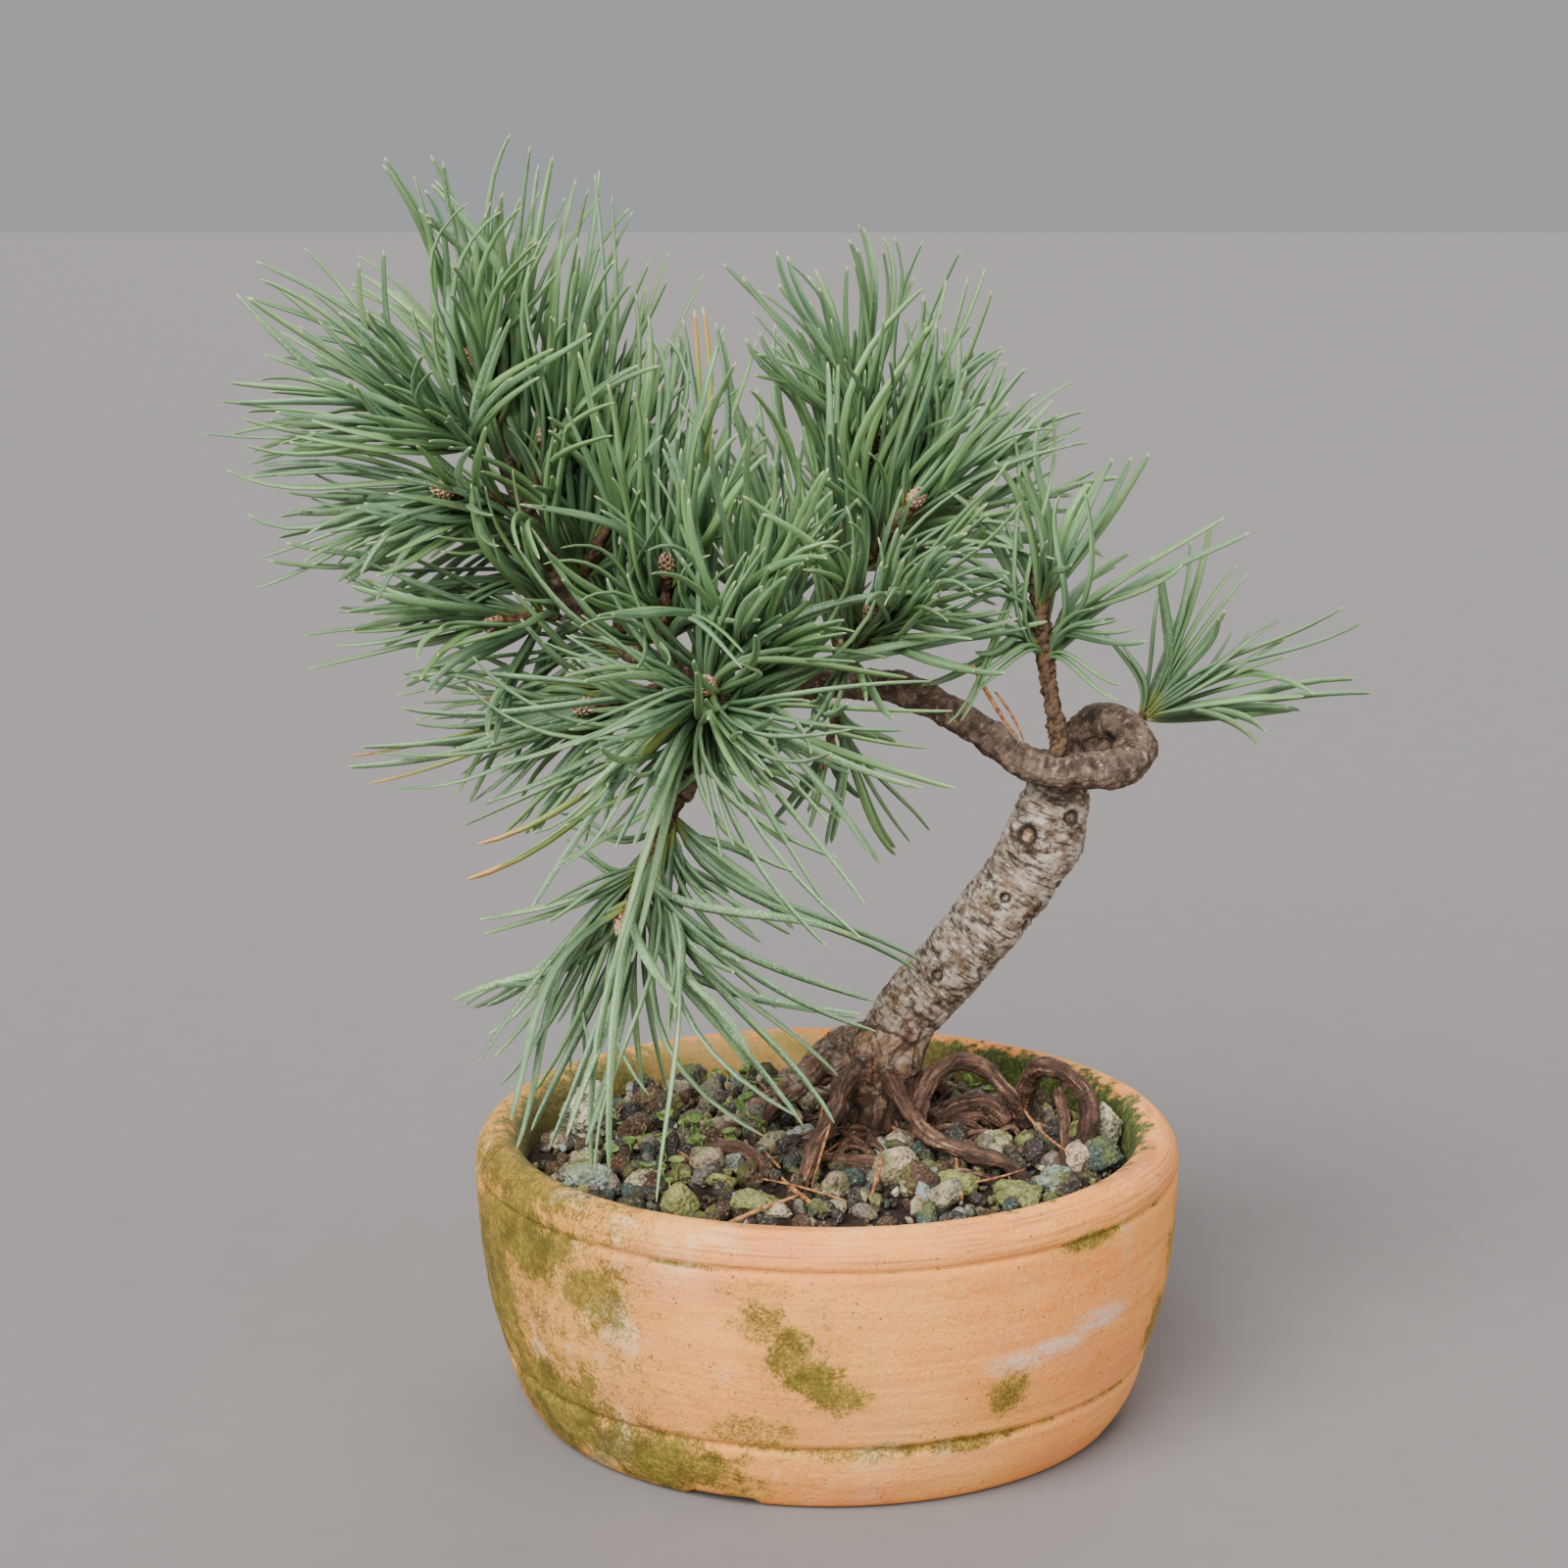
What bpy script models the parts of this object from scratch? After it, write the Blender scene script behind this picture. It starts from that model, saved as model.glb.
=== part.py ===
"""A small two-needle pine trained as a bonsai in a round terracotta bowl.

Blender 4.5, metres, +Z up. The tables below are in millimetres, in the bowl's own frame:
the bowl's axis is X = Y = 0, its foot stands on Z = 0, and -Y is the side shown to a viewer.
"""
import math
import random

import bmesh
import bpy
import numpy as np
from mathutils import Vector, noise

MM = 0.001
GAP = 0.3                      # clearance between touching pieces
SEED = 11

# ---- bowl ----
BOWL_SIDES = 48
FLOOR_TOP = 8.0
FLOOR_UNDERSIDE = 3.0
DRAIN_RADIUS = 7.0
FOOT_INNER_RADIUS = 48.0
BOWL_OUTSIDE = [(54.6, 0.0), (56.9, 1.6), (60.0, 7.0), (61.3, 12.2), (60.7, 13.0), (61.9, 13.9),
                (64.4, 23.0), (66.0, 34.0), (66.6, 46.6), (65.8, 47.5), (66.6, 48.4)]
BOWL_RIM = [(65.9, 51.6), (63.9, 53.9), (61.4, 54.4), (59.2, 53.3), (58.2, 51.0)]
BOWL_INSIDE = [(57.4, 42.0), (55.2, 27.0), (51.0, 14.5), (44.0, 9.0)]
FOOT_NOTCHES = 4
FOOT_NOTCH_ANGLE = math.radians(-110)
FOOT_NOTCH_SIZE = (14.0, 16.0, 1.8)

# ---- drainage mesh, laid over the hole ----
MESH_WIDTH = 20.0
MESH_CELLS = 4
MESH_BAR = 1.6
MESH_THICKNESS = 1.0

# ---- soil ----
SOIL_RADII = [13.0, 25.0, 36.0, 46.0, 53.0]
SOIL_CENTRE_HEIGHT = 52.0
SOIL_EDGE_HEIGHT = 46.5
SOIL_WALL = [(43.0, 9.5), (50.2, 14.9), (54.5, 27.0), (56.8, 42.0), (56.9, SOIL_EDGE_HEIGHT)]
SOIL_SIDES = 40
SOIL_UNEVENNESS = 1.0
SOIL_LUMP_SIZE = 9.0
ROOM_AROUND_WOOD = 0.5         # how much wider than the wood its room in the soil is

# ---- wood: each row is x, y, z, radius ----
WOOD_SIDES = 10
TRUNK = [(8, 8, 47, 8.5), (9, 7, 57, 8.6), (11, 6, 64, 7.8), (13.5, 6, 70, 7.2), (17, 5, 76, 7.0),
         (21, 5, 80.5, 7.0), (25.5, 4, 86, 7.1), (31, 3, 93.5, 7.2), (36.5, 3, 101, 7.2),
         (40.5, 2, 109, 7.3), (43.2, 2, 117.4, 6.2)]
MAIN_BRANCH = [(43.8, 2.1, 119.0, 5.0), (44.8, 2.9, 121.6, 4.8), (46.6, 5.6, 125.4, 4.4),
               (49.6, 5.6, 129.4, 4.0), (53.8, 3, 130, 3.8), (56.8, -1, 127.8, 3.8),
               (56.4, -5.6, 125.2, 3.7), (52.6, -8.6, 124, 3.6), (48, -9.5, 123.8, 3.5),
               (43, -9.5, 123.6, 3.4), (36.3, -8, 125.2, 3.3), (30, -6, 129.2, 3.3),
               (24, -4, 132.8, 3.2), (17, -2, 136.4, 3.2), (11, 0, 138, 3.1), (4.6, 1, 138.2, 3.0),
               (-3, 1, 138, 2.8), (-12, -2, 135.4, 2.7), (-20, -5, 132.4, 2.6),
               (-24.4, -9, 127.4, 2.5), (-26, -12, 122.6, 2.3)]
APEX_BRANCH = [(-19.5, -3, 138.6, 1.9), (-26, 0, 141.4, 2.0), (-35, 4, 143, 2.1), (-43, 7, 147, 2.2),
               (-49, 8, 154, 2.2), (-53, 8, 163, 2.0), (-57.5, 6, 173, 1.9), (-60.6, 4, 181.4, 1.8)]
CENTRE_BRANCH = [(3, 2, 142, 1.9), (2, 5, 149, 1.9), (1, 8, 158, 1.8), (2, 9, 166, 1.7)]

# ---- roots that show above the soil ----
ROOT_SIDES = 8
ROOTS = {
    "root_left": [(1.6, 13, 65, 3.3), (-1.4, 9, 62.6, 3.1), (-6, 4, 59.5, 2.8), (-11, 4, 56, 2.2),
                  (-17, 9, 52.5, 1.6), (-21, 11, 48, 1.2)],
    "root_front_left_arch": [(2.8, -5, 62.5, 1.9), (1, -14, 59.5, 1.8), (-3, -21, 55, 1.7),
                             (-5, -28, 49, 1.6), (-5.5, -30, 45, 1.5)],
    "root_front_right_arch": [(12.5, -5.4, 62.5, 1.8), (15.5, -12, 59, 1.7), (19, -17, 56, 1.7),
                              (26, -19.5, 54, 1.7), (33, -20, 52, 1.6), (38, -20, 47, 1.5)],
    "root_right_loop": [(17.5, -9, 45.5, 1.7), (16.6, -8.4, 53, 1.7), (17.4, -7, 59, 1.8),
                        (20, -3, 63.6, 1.8), (24.4, 0, 65.4, 1.8), (29.4, 1, 64, 1.7),
                        (34, 1, 59.4, 1.6), (37, 3, 54.6, 1.5), (40, 8, 47, 1.4)],
    "root_far_right": [(38, 15, 47, 2.0), (39, 12.5, 57, 2.2), (41, 8, 62, 2.1), (45, 5.4, 62.4, 2.0),
                       (48.6, 4.8, 59, 2.0), (50.2, 3, 54, 2.0), (48, 0, 47, 1.9)],
    "root_low_left_arch": [(-26, -16, 45, 1.4), (-24, -18, 51, 1.5), (-20, -18.6, 54.4, 1.6),
                           (-15, -19.5, 54, 1.6), (-11.5, -23, 51, 1.5), (-10, -24, 46, 1.4)],
    "root_behind": [(14, 15.8, 61, 2.6), (18, 21, 56, 2.2), (24, 27, 52, 1.8), (29, 31, 46.5, 1.4)],
}

# ---- stones: x, y, z, width, height, yaw in degrees ----
STONE_ROUGHNESS = 0.16
STONE_LUMPS = 1.3              # lumps across a stone's radius
STONE_DEPTH = 0.8              # depth as a share of width
STONES = {
    "stone_pumice": (-46, 5, 54, 8.4, 8.4, 20),
    "stone_cream_left": (-19.5, 1, 51.6, 6.8, 4.6, 0),
    "stone_blue": (-44, -22, 49.6, 7.4, 4.4, -30),
    "stone_cream_front": (-34, -24, 49.4, 6.6, 5.0, 50),
    "stone_moss_front": (-13, -36, 49.6, 6.9, 4.2, 10),
    "stone_grey_round": (28, 12, 53, 5.2, 5.0, 0),
    "stone_grey_cream": (31, -9, 51.6, 6.8, 5.0, 30),
    "stone_yellow": (23.5, -26.5, 50.2, 6.8, 4.6, -20),
    "stone_cream_right": (54, 7, 51, 5.2, 6.6, 80),
    "stone_teal": (51.4, -11, 50, 6.2, 5.4, 40),
    "stone_moss_right": (34, -30, 48.8, 8.0, 5.0, -15),
    "stone_slate": (42, -23, 49, 6.5, 4.4, 60),
    "stone_dark_left": (-38, 18, 50, 5.6, 4.4, 70),
    "stone_back_left": (-28, 32, 49.2, 6.5, 4.6, 15),
    "stone_back": (-6, 39, 49, 7.2, 4.8, -40),
    "stone_back_right": (22, 43, 48.4, 6.2, 4.4, 25),
}

# ---- shoots: a stem (x, y, z, radius) and the points that its needles reach ----
SHOOT_SIDES = 6
RING_STEP = 2.4
NEEDLE_HALF_WIDTH = 0.85
NEEDLE_BEND = 0.45             # how far along a needle its bend sits
NEEDLE_BOW = 0.15              # how far the bend stands off the straight line, per length
NEEDLE_AXIAL = 0.6             # a needle's first direction: this much along its stem
NEEDLE_OUTWARD = 0.8           # and this much out from it
NEEDLE_CLEARANCE = 2.2         # from centre line to centre line
SHARED_START = 6               # samples near the stem that needles of one shoot may share
NEEDLE_TRIES = 40
NEEDLE_WANDER = 0.5            # how much further from its goal each try may end
WOOD_ALLOWANCE = 0.6           # how much closer to wood than to a needle a needle may come
NEEDLE_NEAR_END = 0.02         # how strongly needles crowd to the stem's end, per millimetre
BUD_LENGTH = 4.5
BUD_SHAPE = [(0.55, 0.9), (1.0, 0.35)]    # shares of its length and of the stem's radius
BOWL_CLEARANCE = 2.0
RIM_CLEARANCE = 55.6           # no needle over the bowl comes lower
SHOOTS = {
    "shoot_apex": (
        [(-60.8, 3.8, 182, 1.5), (-62.6, 3, 188, 1.7), (-64.6, 2, 196, 1.7)],
        [(-80, 0, 234), (-74, 8, 232), (-70, -4, 234), (-81, -8, 218), (-56, 4, 238), (-52, 10, 234),
         (-58, -8, 229), (-50, -8, 228), (-52, -18, 223), (-74, 22, 224), (-60, 24, 226),
         (-88, 14, 212), (-66, -24, 214)]),
    "shoot_apex_left": (
        [(-63.6, -1.2, 180, 1.4), (-66, -4, 184.4, 1.6), (-70, -6, 188, 1.6)],
        [(-104, -4, 214), (-99, 5, 215), (-107, 2, 208), (-103, -10, 211), (-93, -16, 205),
         (-104, -8, 193), (-114, 0, 188), (-108, 7, 181), (-94, -18, 187), (-96, 14, 200),
         (-70, -28, 200), (-84, -26, 196)]),
    "shoot_left": (
        [(-59, -1.4, 170.6, 1.4), (-62, -5, 173, 1.6), (-68, -9, 175, 1.6)],
        [(-109, -6, 175), (-107, 5, 178), (-102, 2, 166), (-101, -12, 164), (-93, -16, 168),
         (-83, -20, 174), (-79, -24, 170), (-89, -8, 158), (-98, 12, 170), (-86, 16, 164),
         (-72, -32, 184)]),
    "shoot_left_low": (
        [(-50, 3, 150.6, 1.4), (-54, 0, 151, 1.6), (-60, -4, 150.4, 1.6)],
        [(-97, 0, 144), (-90, -7, 148), (-76, 8, 153), (-92, 10, 152), (-86, -16, 154),
         (-80, 18, 146), (-70, -26, 150), (-78, 4, 138), (-88, -6, 161)]),
    "shoot_apex_right": (
        [(-52, 3.6, 170, 1.4), (-52.6, 1, 176, 1.6), (-51.6, -1, 183, 1.6)],
        [(-43, 6, 232), (-41, -1, 231), (-37, -5, 227), (-46, -9, 223), (-40, 13, 226), (-49, -14, 215),
         (-45, -16, 204), (-42, 16, 209), (-58, 18, 212), (-48, 24, 206), (-36, -14, 214)]),
    "shoot_centre_left": (
        [(-46, 3.4, 157, 1.4), (-43.6, 0, 162, 1.6), (-40, -1, 168, 1.6)],
        [(-36, 5, 214), (-32, 12, 215), (-33, -3, 209), (-24, 18, 214), (-28, 10, 200), (-34, 4, 201),
         (-48, -18, 188), (-18, 9, 194), (-30, 26, 192), (-42, 28, 196), (-22, 22, 184),
         (-52, -20, 176)]),
    "shoot_long_bud": (
        [(-30, -3.4, 145.6, 1.4), (-30, -7, 150, 1.6), (-29.6, -10, 160, 1.7)],
        [(-44, -14, 205), (-37, -20, 195), (-42, -25, 191), (-30, -6, 194), (-24, -3, 208),
         (-22, -12, 206), (-16, -6, 204), (-17, -15, 192), (-36, -30, 182), (-24, -28, 184),
         (-50, -24, 166), (-12, -18, 182)]),
    "shoot_small_bud": (
        [(-14, -6.4, 139.8, 1.4), (-16, -11, 146, 1.5), (-18, -17, 153.4, 1.6)],
        [(-44, -32, 158), (-25, -34, 178), (-1, -36, 182), (-8, -30, 184), (-10, -46, 164),
         (-32, -42, 168), (4, -26, 176), (-18, -40, 190), (-2, -44, 168), (-30, -20, 186)]),
    "shoot_front": (
        [(-21.4, -10.4, 134.8, 1.5), (-22, -17, 138, 1.7), (-22, -25, 142, 1.8)],
        [(34, -20, 153), (17, -25, 160), (17, -31, 140), (13, -20, 146), (21, -26, 134),
         (20, -34, 125), (-2, -26, 172), (-46, -31, 153), (-64, -22, 145), (-77, -12, 140),
         (-63, -34, 115), (-62, -26, 124), (-66, -18, 108), (-50, -42, 116), (-53, -36, 104),
         (-36, -50, 118), (-37, -44, 98), (-4, -48, 120), (8, -36, 113), (4, -44, 106),
         (2, -52, 102), (-18, -44, 116), (-22, -62, 148), (-44, -52, 138), (2, -56, 138)]),
    "shoot_low": (
        [(-31, -1.2, 138, 1.4), (-36, -5, 136.6, 1.6), (-43, -9, 136, 1.6)],
        [(-88, -10, 126), (-88, -3, 121), (-76, 5, 133), (-70, -6, 130), (-70, 10, 127),
         (-61, -17, 130), (-67, 0, 117), (-78, -14, 138), (-62, 14, 122), (-56, -4, 112),
         (-80, 16, 140)]),
    "shoot_hanging": (
        [(-26.6, -13.4, 120.2, 1.6), (-29.3, -19, 116, 1.7), (-32, -24, 112, 1.7), (-34.4, -29, 106, 1.7),
         (-36, -32, 102, 1.7)],
        [(-62, -34, 101), (-50, -42, 104), (-49, -12, 110), (-60, -36, 90), (-64, -30, 84),
         (-60, -44, 81), (-58, -50, 77), (-58, -36, 71), (-56, -54, 68), (-50, -48, 64),
         (-40, -52, 61), (-36, -58, 58), (-33, -24, 66), (-46, -30, 70), (-8, -47, 68), (-2, -38, 64),
         (0, -24, 66), (9, -30, 82), (17, -17, 89), (-15, -22, 94), (-16, -40, 94), (-27, -52, 92),
         (-13, -12, 107), (-24, -10, 82), (5, -32, 98), (-50, -2, 112)]),
    "shoot_under": (
        [(1.6, -0.6, 134.4, 1.1), (1, -2, 131, 1.2), (0, -4, 127, 1.1)],
        [(0, -6, 109), (-4, -10, 113), (-9, 2, 112), (6, 4, 116), (12, -6, 128)]),
    "shoot_centre_tall": (
        [(2.4, 9, 166.8, 1.4), (4, 9, 172, 1.6), (8, 9, 181, 1.7)],
        [(-18, 4, 215), (-12, 11, 210), (-9, -3, 219), (-3, 16, 213), (0, -9, 213), (4, 1, 220),
         (8, 12, 221), (8, -6, 218), (13, -14, 206), (6, -22, 200), (16, 26, 212), (-10, 28, 200),
         (24, 22, 204), (-14, -8, 199)]),
    "shoot_right_tall": (
        [(6.2, 3.4, 160, 1.4), (10, 0, 165, 1.6), (15, -3, 172, 1.6)],
        [(21, 1, 219), (25, -7, 215), (27, 6, 212), (18, -13, 205), (19, -4, 210), (32, 4, 200),
         (36, -7, 196), (35, -14, 193), (47, 8, 190), (48, -1, 186), (42, -10, 186), (15, 10, 208),
         (30, 18, 198), (0, -20, 188)]),
    "shoot_right_front": (
        [(4.4, -3.6, 143.6, 1.4), (6, -9, 147, 1.6), (7, -15, 153, 1.6)],
        [(13, -30, 178), (29, -27, 178), (12, -36, 170), (0, -30, 188), (24, -34, 168), (26, -22, 152),
         (38, -16, 152), (22, -40, 158), (-14, -34, 176), (8, -46, 160), (28, -34, 146)]),
    "shoot_behind": (
        [(5.6, 11.4, 158.4, 1.4), (10, 15, 161, 1.5), (16, 20, 164, 1.5)],
        [(50, 20, 171), (54, 25, 175), (44, 34, 180), (30, 42, 192), (10, 46, 190), (38, 40, 160),
         (22, 48, 172), (52, 14, 160), (-4, 44, 178)]),
    "shoot_back_centre": (
        [(-6, 5.4, 141, 1.4), (-8, 11, 145, 1.6), (-10, 19, 151, 1.6)],
        [(-12, 40, 192), (-28, 44, 184), (4, 38, 188), (-34, 42, 166), (-12, 58, 172), (12, 46, 166),
         (-22, 54, 154), (-2, 56, 150), (-40, 34, 182), (-20, 30, 200), (-8, 50, 136)]),
    "shoot_back_left": (
        [(-38, 10, 146.6, 1.4), (-41, 16, 150, 1.6), (-46, 23, 155, 1.6)],
        [(-58, 40, 196), (-72, 36, 184), (-44, 46, 194), (-84, 34, 168), (-62, 56, 174), (-80, 42, 152),
         (-44, 60, 166), (-60, 54, 146), (-34, 50, 180), (-90, 22, 178), (-66, 24, 200)]),
    "shoot_upright": (
        [(42.2, -9.4, 127.8, 1.7), (41.7, -9.2, 131.7, 1.6), (40.6, -9, 137, 1.5), (39.3, -9, 144.5, 1.4),
         (38.8, -9, 150.4, 1.5), (37.9, -9, 157, 1.6), (37.7, -9, 161, 1.6)],
        [(35, -10, 189), (38, 2, 186), (31, -18, 181), (43, -12, 176), (47, -4, 176), (51, -8, 181),
         (55, -14, 183), (75, -9, 169), (62, -14, 164), (17, -12, 165), (22, -18, 163), (27, -2, 168),
         (20, -4, 176), (8, -14, 158), (20, -22, 157), (48, -20, 155), (52, 2, 150), (55, -10, 151),
         (57, -16, 149), (52, -20, 140), (23, -12, 145), (26, -20, 142), (17, -6, 139), (22, -14, 133),
         (40, 18, 176), (30, 20, 166), (56, 14, 160), (40, -38, 168), (34, 18, 148)]),
    "shoot_right_tuft": (
        [(58.4, 3.4, 131.6, 1.3), (60.4, 4.6, 132.6, 1.5), (62.6, 5, 134, 1.5)],
        [(61, 0, 160), (68, 4, 168), (66, 12, 157), (77, 5, 159), (72, -4, 152), (52, 4, 148),
         (98, 0, 151), (86, 6, 147), (85, -6, 142), (101, 5, 138), (88, -2, 135), (88, 8, 132),
         (80, 22, 146), (66, 26, 146), (78, -16, 130)]),
}

BARK = (0.30, 0.24, 0.20)
TWIG_BARK = (0.22, 0.15, 0.11)
TERRACOTTA = (0.72, 0.42, 0.26)
NEEDLE_GREEN = (0.12, 0.24, 0.12)


def clear_scene():
    """Remove whatever the open file holds."""
    for thing in list(bpy.data.objects):
        bpy.data.objects.remove(thing, do_unlink=True)


def material(name, colour, roughness, metallic=0.0):
    """A Principled material with one colour."""
    made = bpy.data.materials.new(name)
    made.use_nodes = True
    shader = made.node_tree.nodes["Principled BSDF"]
    shader.inputs["Base Color"].default_value = (*colour, 1.0)
    shader.inputs["Roughness"].default_value = roughness
    shader.inputs["Metallic"].default_value = metallic
    made.diffuse_color = (*colour, 1.0)
    return made


def finish(name, mesh_data, origin, surface):
    """Turn a bmesh given in millimetres into a smooth-shaded object with its own origin."""
    bmesh.ops.translate(mesh_data, verts=mesh_data.verts, vec=-Vector(origin))
    bmesh.ops.scale(mesh_data, verts=mesh_data.verts, vec=(MM, MM, MM))
    bmesh.ops.recalc_face_normals(mesh_data, faces=mesh_data.faces)
    for face in mesh_data.faces:
        face.smooth = True
    mesh = bpy.data.meshes.new(name)
    mesh_data.to_mesh(mesh)
    mesh_data.free()
    made = bpy.data.objects.new(name, mesh)
    made.location = Vector(origin) * MM
    bpy.context.collection.objects.link(made)
    if surface:
        mesh.materials.append(surface)
    return made


def lathe(profile, sides, closed):
    """Turn a profile of (radius, z) about Z; an open profile runs from axis to axis."""
    made = bmesh.new()
    rings = []
    for radius, z in profile:
        if radius == 0:
            rings.append([made.verts.new((0, 0, z))])
            continue
        angles = [2 * math.pi * step / sides for step in range(sides)]
        rings.append([made.verts.new((radius * math.cos(a), radius * math.sin(a), z)) for a in angles])
    pairs = list(zip(rings, rings[1:] + rings[:1])) if closed else list(zip(rings, rings[1:]))
    for lower, upper in pairs:
        for step in range(sides):
            after = (step + 1) % sides
            if len(lower) == 1:
                made.faces.new((lower[0], upper[step], upper[after]))
            elif len(upper) == 1:
                made.faces.new((lower[step], upper[0], lower[after]))
            else:
                made.faces.new((lower[step], upper[step], upper[after], lower[after]))
    return made


def smooth_path(rows, step):
    """Resample rows of (x, y, z, radius) along a Catmull-Rom curve, about every step."""
    points = np.array(rows, float)
    padded = np.vstack([2 * points[0] - points[1], points, 2 * points[-1] - points[-2]])
    path = []
    for index in range(1, len(padded) - 2):
        before, start, end, after = padded[index - 1:index + 3]
        parts = max(1, round(np.linalg.norm((end - start)[:3]) / step))
        for part in range(parts):
            t = part / parts
            path.append(0.5 * (2 * start + (end - before) * t
                               + (2 * before - 5 * start + 4 * end - after) * t ** 2
                               + (3 * start - before - 3 * end + after) * t ** 3))
    path.append(padded[-2])
    return np.array(path)


def ring_frames(path):
    """A centre and two side vectors for each point of a path, turning as little as possible."""
    centres = [Vector(row[:3]) for row in path]
    tangents = []
    for index in range(len(centres)):
        ahead = centres[min(index + 1, len(centres) - 1)]
        behind = centres[max(index - 1, 0)]
        tangents.append((ahead - behind).normalized())
    side = tangents[0].orthogonal().normalized()
    frames = []
    for centre, tangent in zip(centres, tangents):
        side = (side - tangent * side.dot(tangent)).normalized()
        frames.append((centre, side, tangent.cross(side)))
    return frames


def tube(path, sides, extra=0.0):
    """A closed round solid along a path of (x, y, z, radius) rows; extra fattens it."""
    made = bmesh.new()
    rings = []
    for (centre, side, up), row in zip(ring_frames(path), path):
        ring = []
        for step in range(sides):
            angle = 2 * math.pi * step / sides
            outward = side * math.cos(angle) + up * math.sin(angle)
            ring.append(made.verts.new(centre + outward * (row[3] + extra)))
        rings.append(ring)
    for lower, upper in zip(rings, rings[1:]):
        for step in range(sides):
            after = (step + 1) % sides
            made.faces.new((lower[step], lower[after], upper[after], upper[step]))
    made.faces.new(list(reversed(rings[0])))
    made.faces.new(rings[-1])
    return made


def stone(width, height, yaw, seed, extra=0.0):
    """A rough pebble about the origin."""
    made = bmesh.new()
    bmesh.ops.create_icosphere(made, subdivisions=2, radius=1.0)
    turn = math.radians(yaw)
    for vert in made.verts:
        bulge = 1 + STONE_ROUGHNESS * noise.noise(vert.co * STONE_LUMPS + Vector((seed, 0, 0)))
        x = vert.co.x * bulge * (width / 2 + extra)
        y = vert.co.y * bulge * (width / 2 * STONE_DEPTH + extra)
        z = vert.co.z * bulge * (height / 2 + extra)
        vert.co = (x * math.cos(turn) - y * math.sin(turn), x * math.sin(turn) + y * math.cos(turn), z)
    return made


def cut(target, cutter):
    """Take one object's volume out of another's."""
    cutter.hide_render = True
    cutter.display_type = "WIRE"
    modifier = target.modifiers.new("cut_" + cutter.name, "BOOLEAN")
    modifier.operation = "DIFFERENCE"
    modifier.solver = "EXACT"
    modifier.object = cutter


def make_bowl():
    """The terracotta bowl: round wall, thick rim, drain hole, and notches in the foot."""
    floor = [(DRAIN_RADIUS, FLOOR_TOP), (DRAIN_RADIUS, FLOOR_UNDERSIDE)]
    foot = [(FOOT_INNER_RADIUS - 1.5, FLOOR_UNDERSIDE), (FOOT_INNER_RADIUS, 0.0)]
    profile = BOWL_OUTSIDE + BOWL_RIM + BOWL_INSIDE + floor + foot
    bowl = finish("bowl", lathe(profile, BOWL_SIDES, closed=True), (0, 0, 0),
                  material("terracotta", TERRACOTTA, 0.85))
    notch_radius = (FOOT_INNER_RADIUS + BOWL_OUTSIDE[0][0]) / 2
    cutters = bmesh.new()
    for step in range(FOOT_NOTCHES):
        angle = FOOT_NOTCH_ANGLE + 2 * math.pi * step / FOOT_NOTCHES
        box = bmesh.ops.create_cube(cutters, size=1.0)["verts"]
        for vert in box:
            radial = notch_radius + vert.co.x * FOOT_NOTCH_SIZE[1]
            across = vert.co.y * FOOT_NOTCH_SIZE[0]
            height = vert.co.z * 2 * FOOT_NOTCH_SIZE[2]
            vert.co = (radial * math.cos(angle) - across * math.sin(angle),
                       radial * math.sin(angle) + across * math.cos(angle), height)
    cut(bowl, finish("foot_notches", cutters, (0, 0, 0), None))


def make_drain_mesh():
    """The square plastic net that keeps soil out of the drain hole."""
    made = bmesh.new()
    bmesh.ops.create_grid(made, x_segments=MESH_CELLS, y_segments=MESH_CELLS, size=MESH_WIDTH / 2)
    cells = list(made.faces)
    bmesh.ops.inset_individual(made, faces=cells, thickness=MESH_BAR / 2)
    bmesh.ops.delete(made, geom=cells, context="FACES")
    bmesh.ops.remove_doubles(made, verts=made.verts, dist=0.01)
    base = list(made.faces)
    raised = bmesh.ops.extrude_face_region(made, geom=base, use_keep_orig=True)
    top = [item for item in raised["geom"] if isinstance(item, bmesh.types.BMVert)]
    bmesh.ops.translate(made, verts=top, vec=(0, 0, MESH_THICKNESS))
    resting_place = (0, 0, FLOOR_TOP + GAP)
    bmesh.ops.translate(made, verts=made.verts, vec=resting_place)
    finish("drain_mesh", made, resting_place, material("net", (0.05, 0.05, 0.05), 0.6))


def soil_height(x, y):
    """Height of the soil's uneven top."""
    share = min(1.0, math.hypot(x, y) / SOIL_RADII[-1])
    mound = SOIL_CENTRE_HEIGHT + (SOIL_EDGE_HEIGHT - SOIL_CENTRE_HEIGHT) * share ** 2
    return mound + SOIL_UNEVENNESS * noise.noise(Vector((x, y, 0)) / SOIL_LUMP_SIZE)


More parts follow.
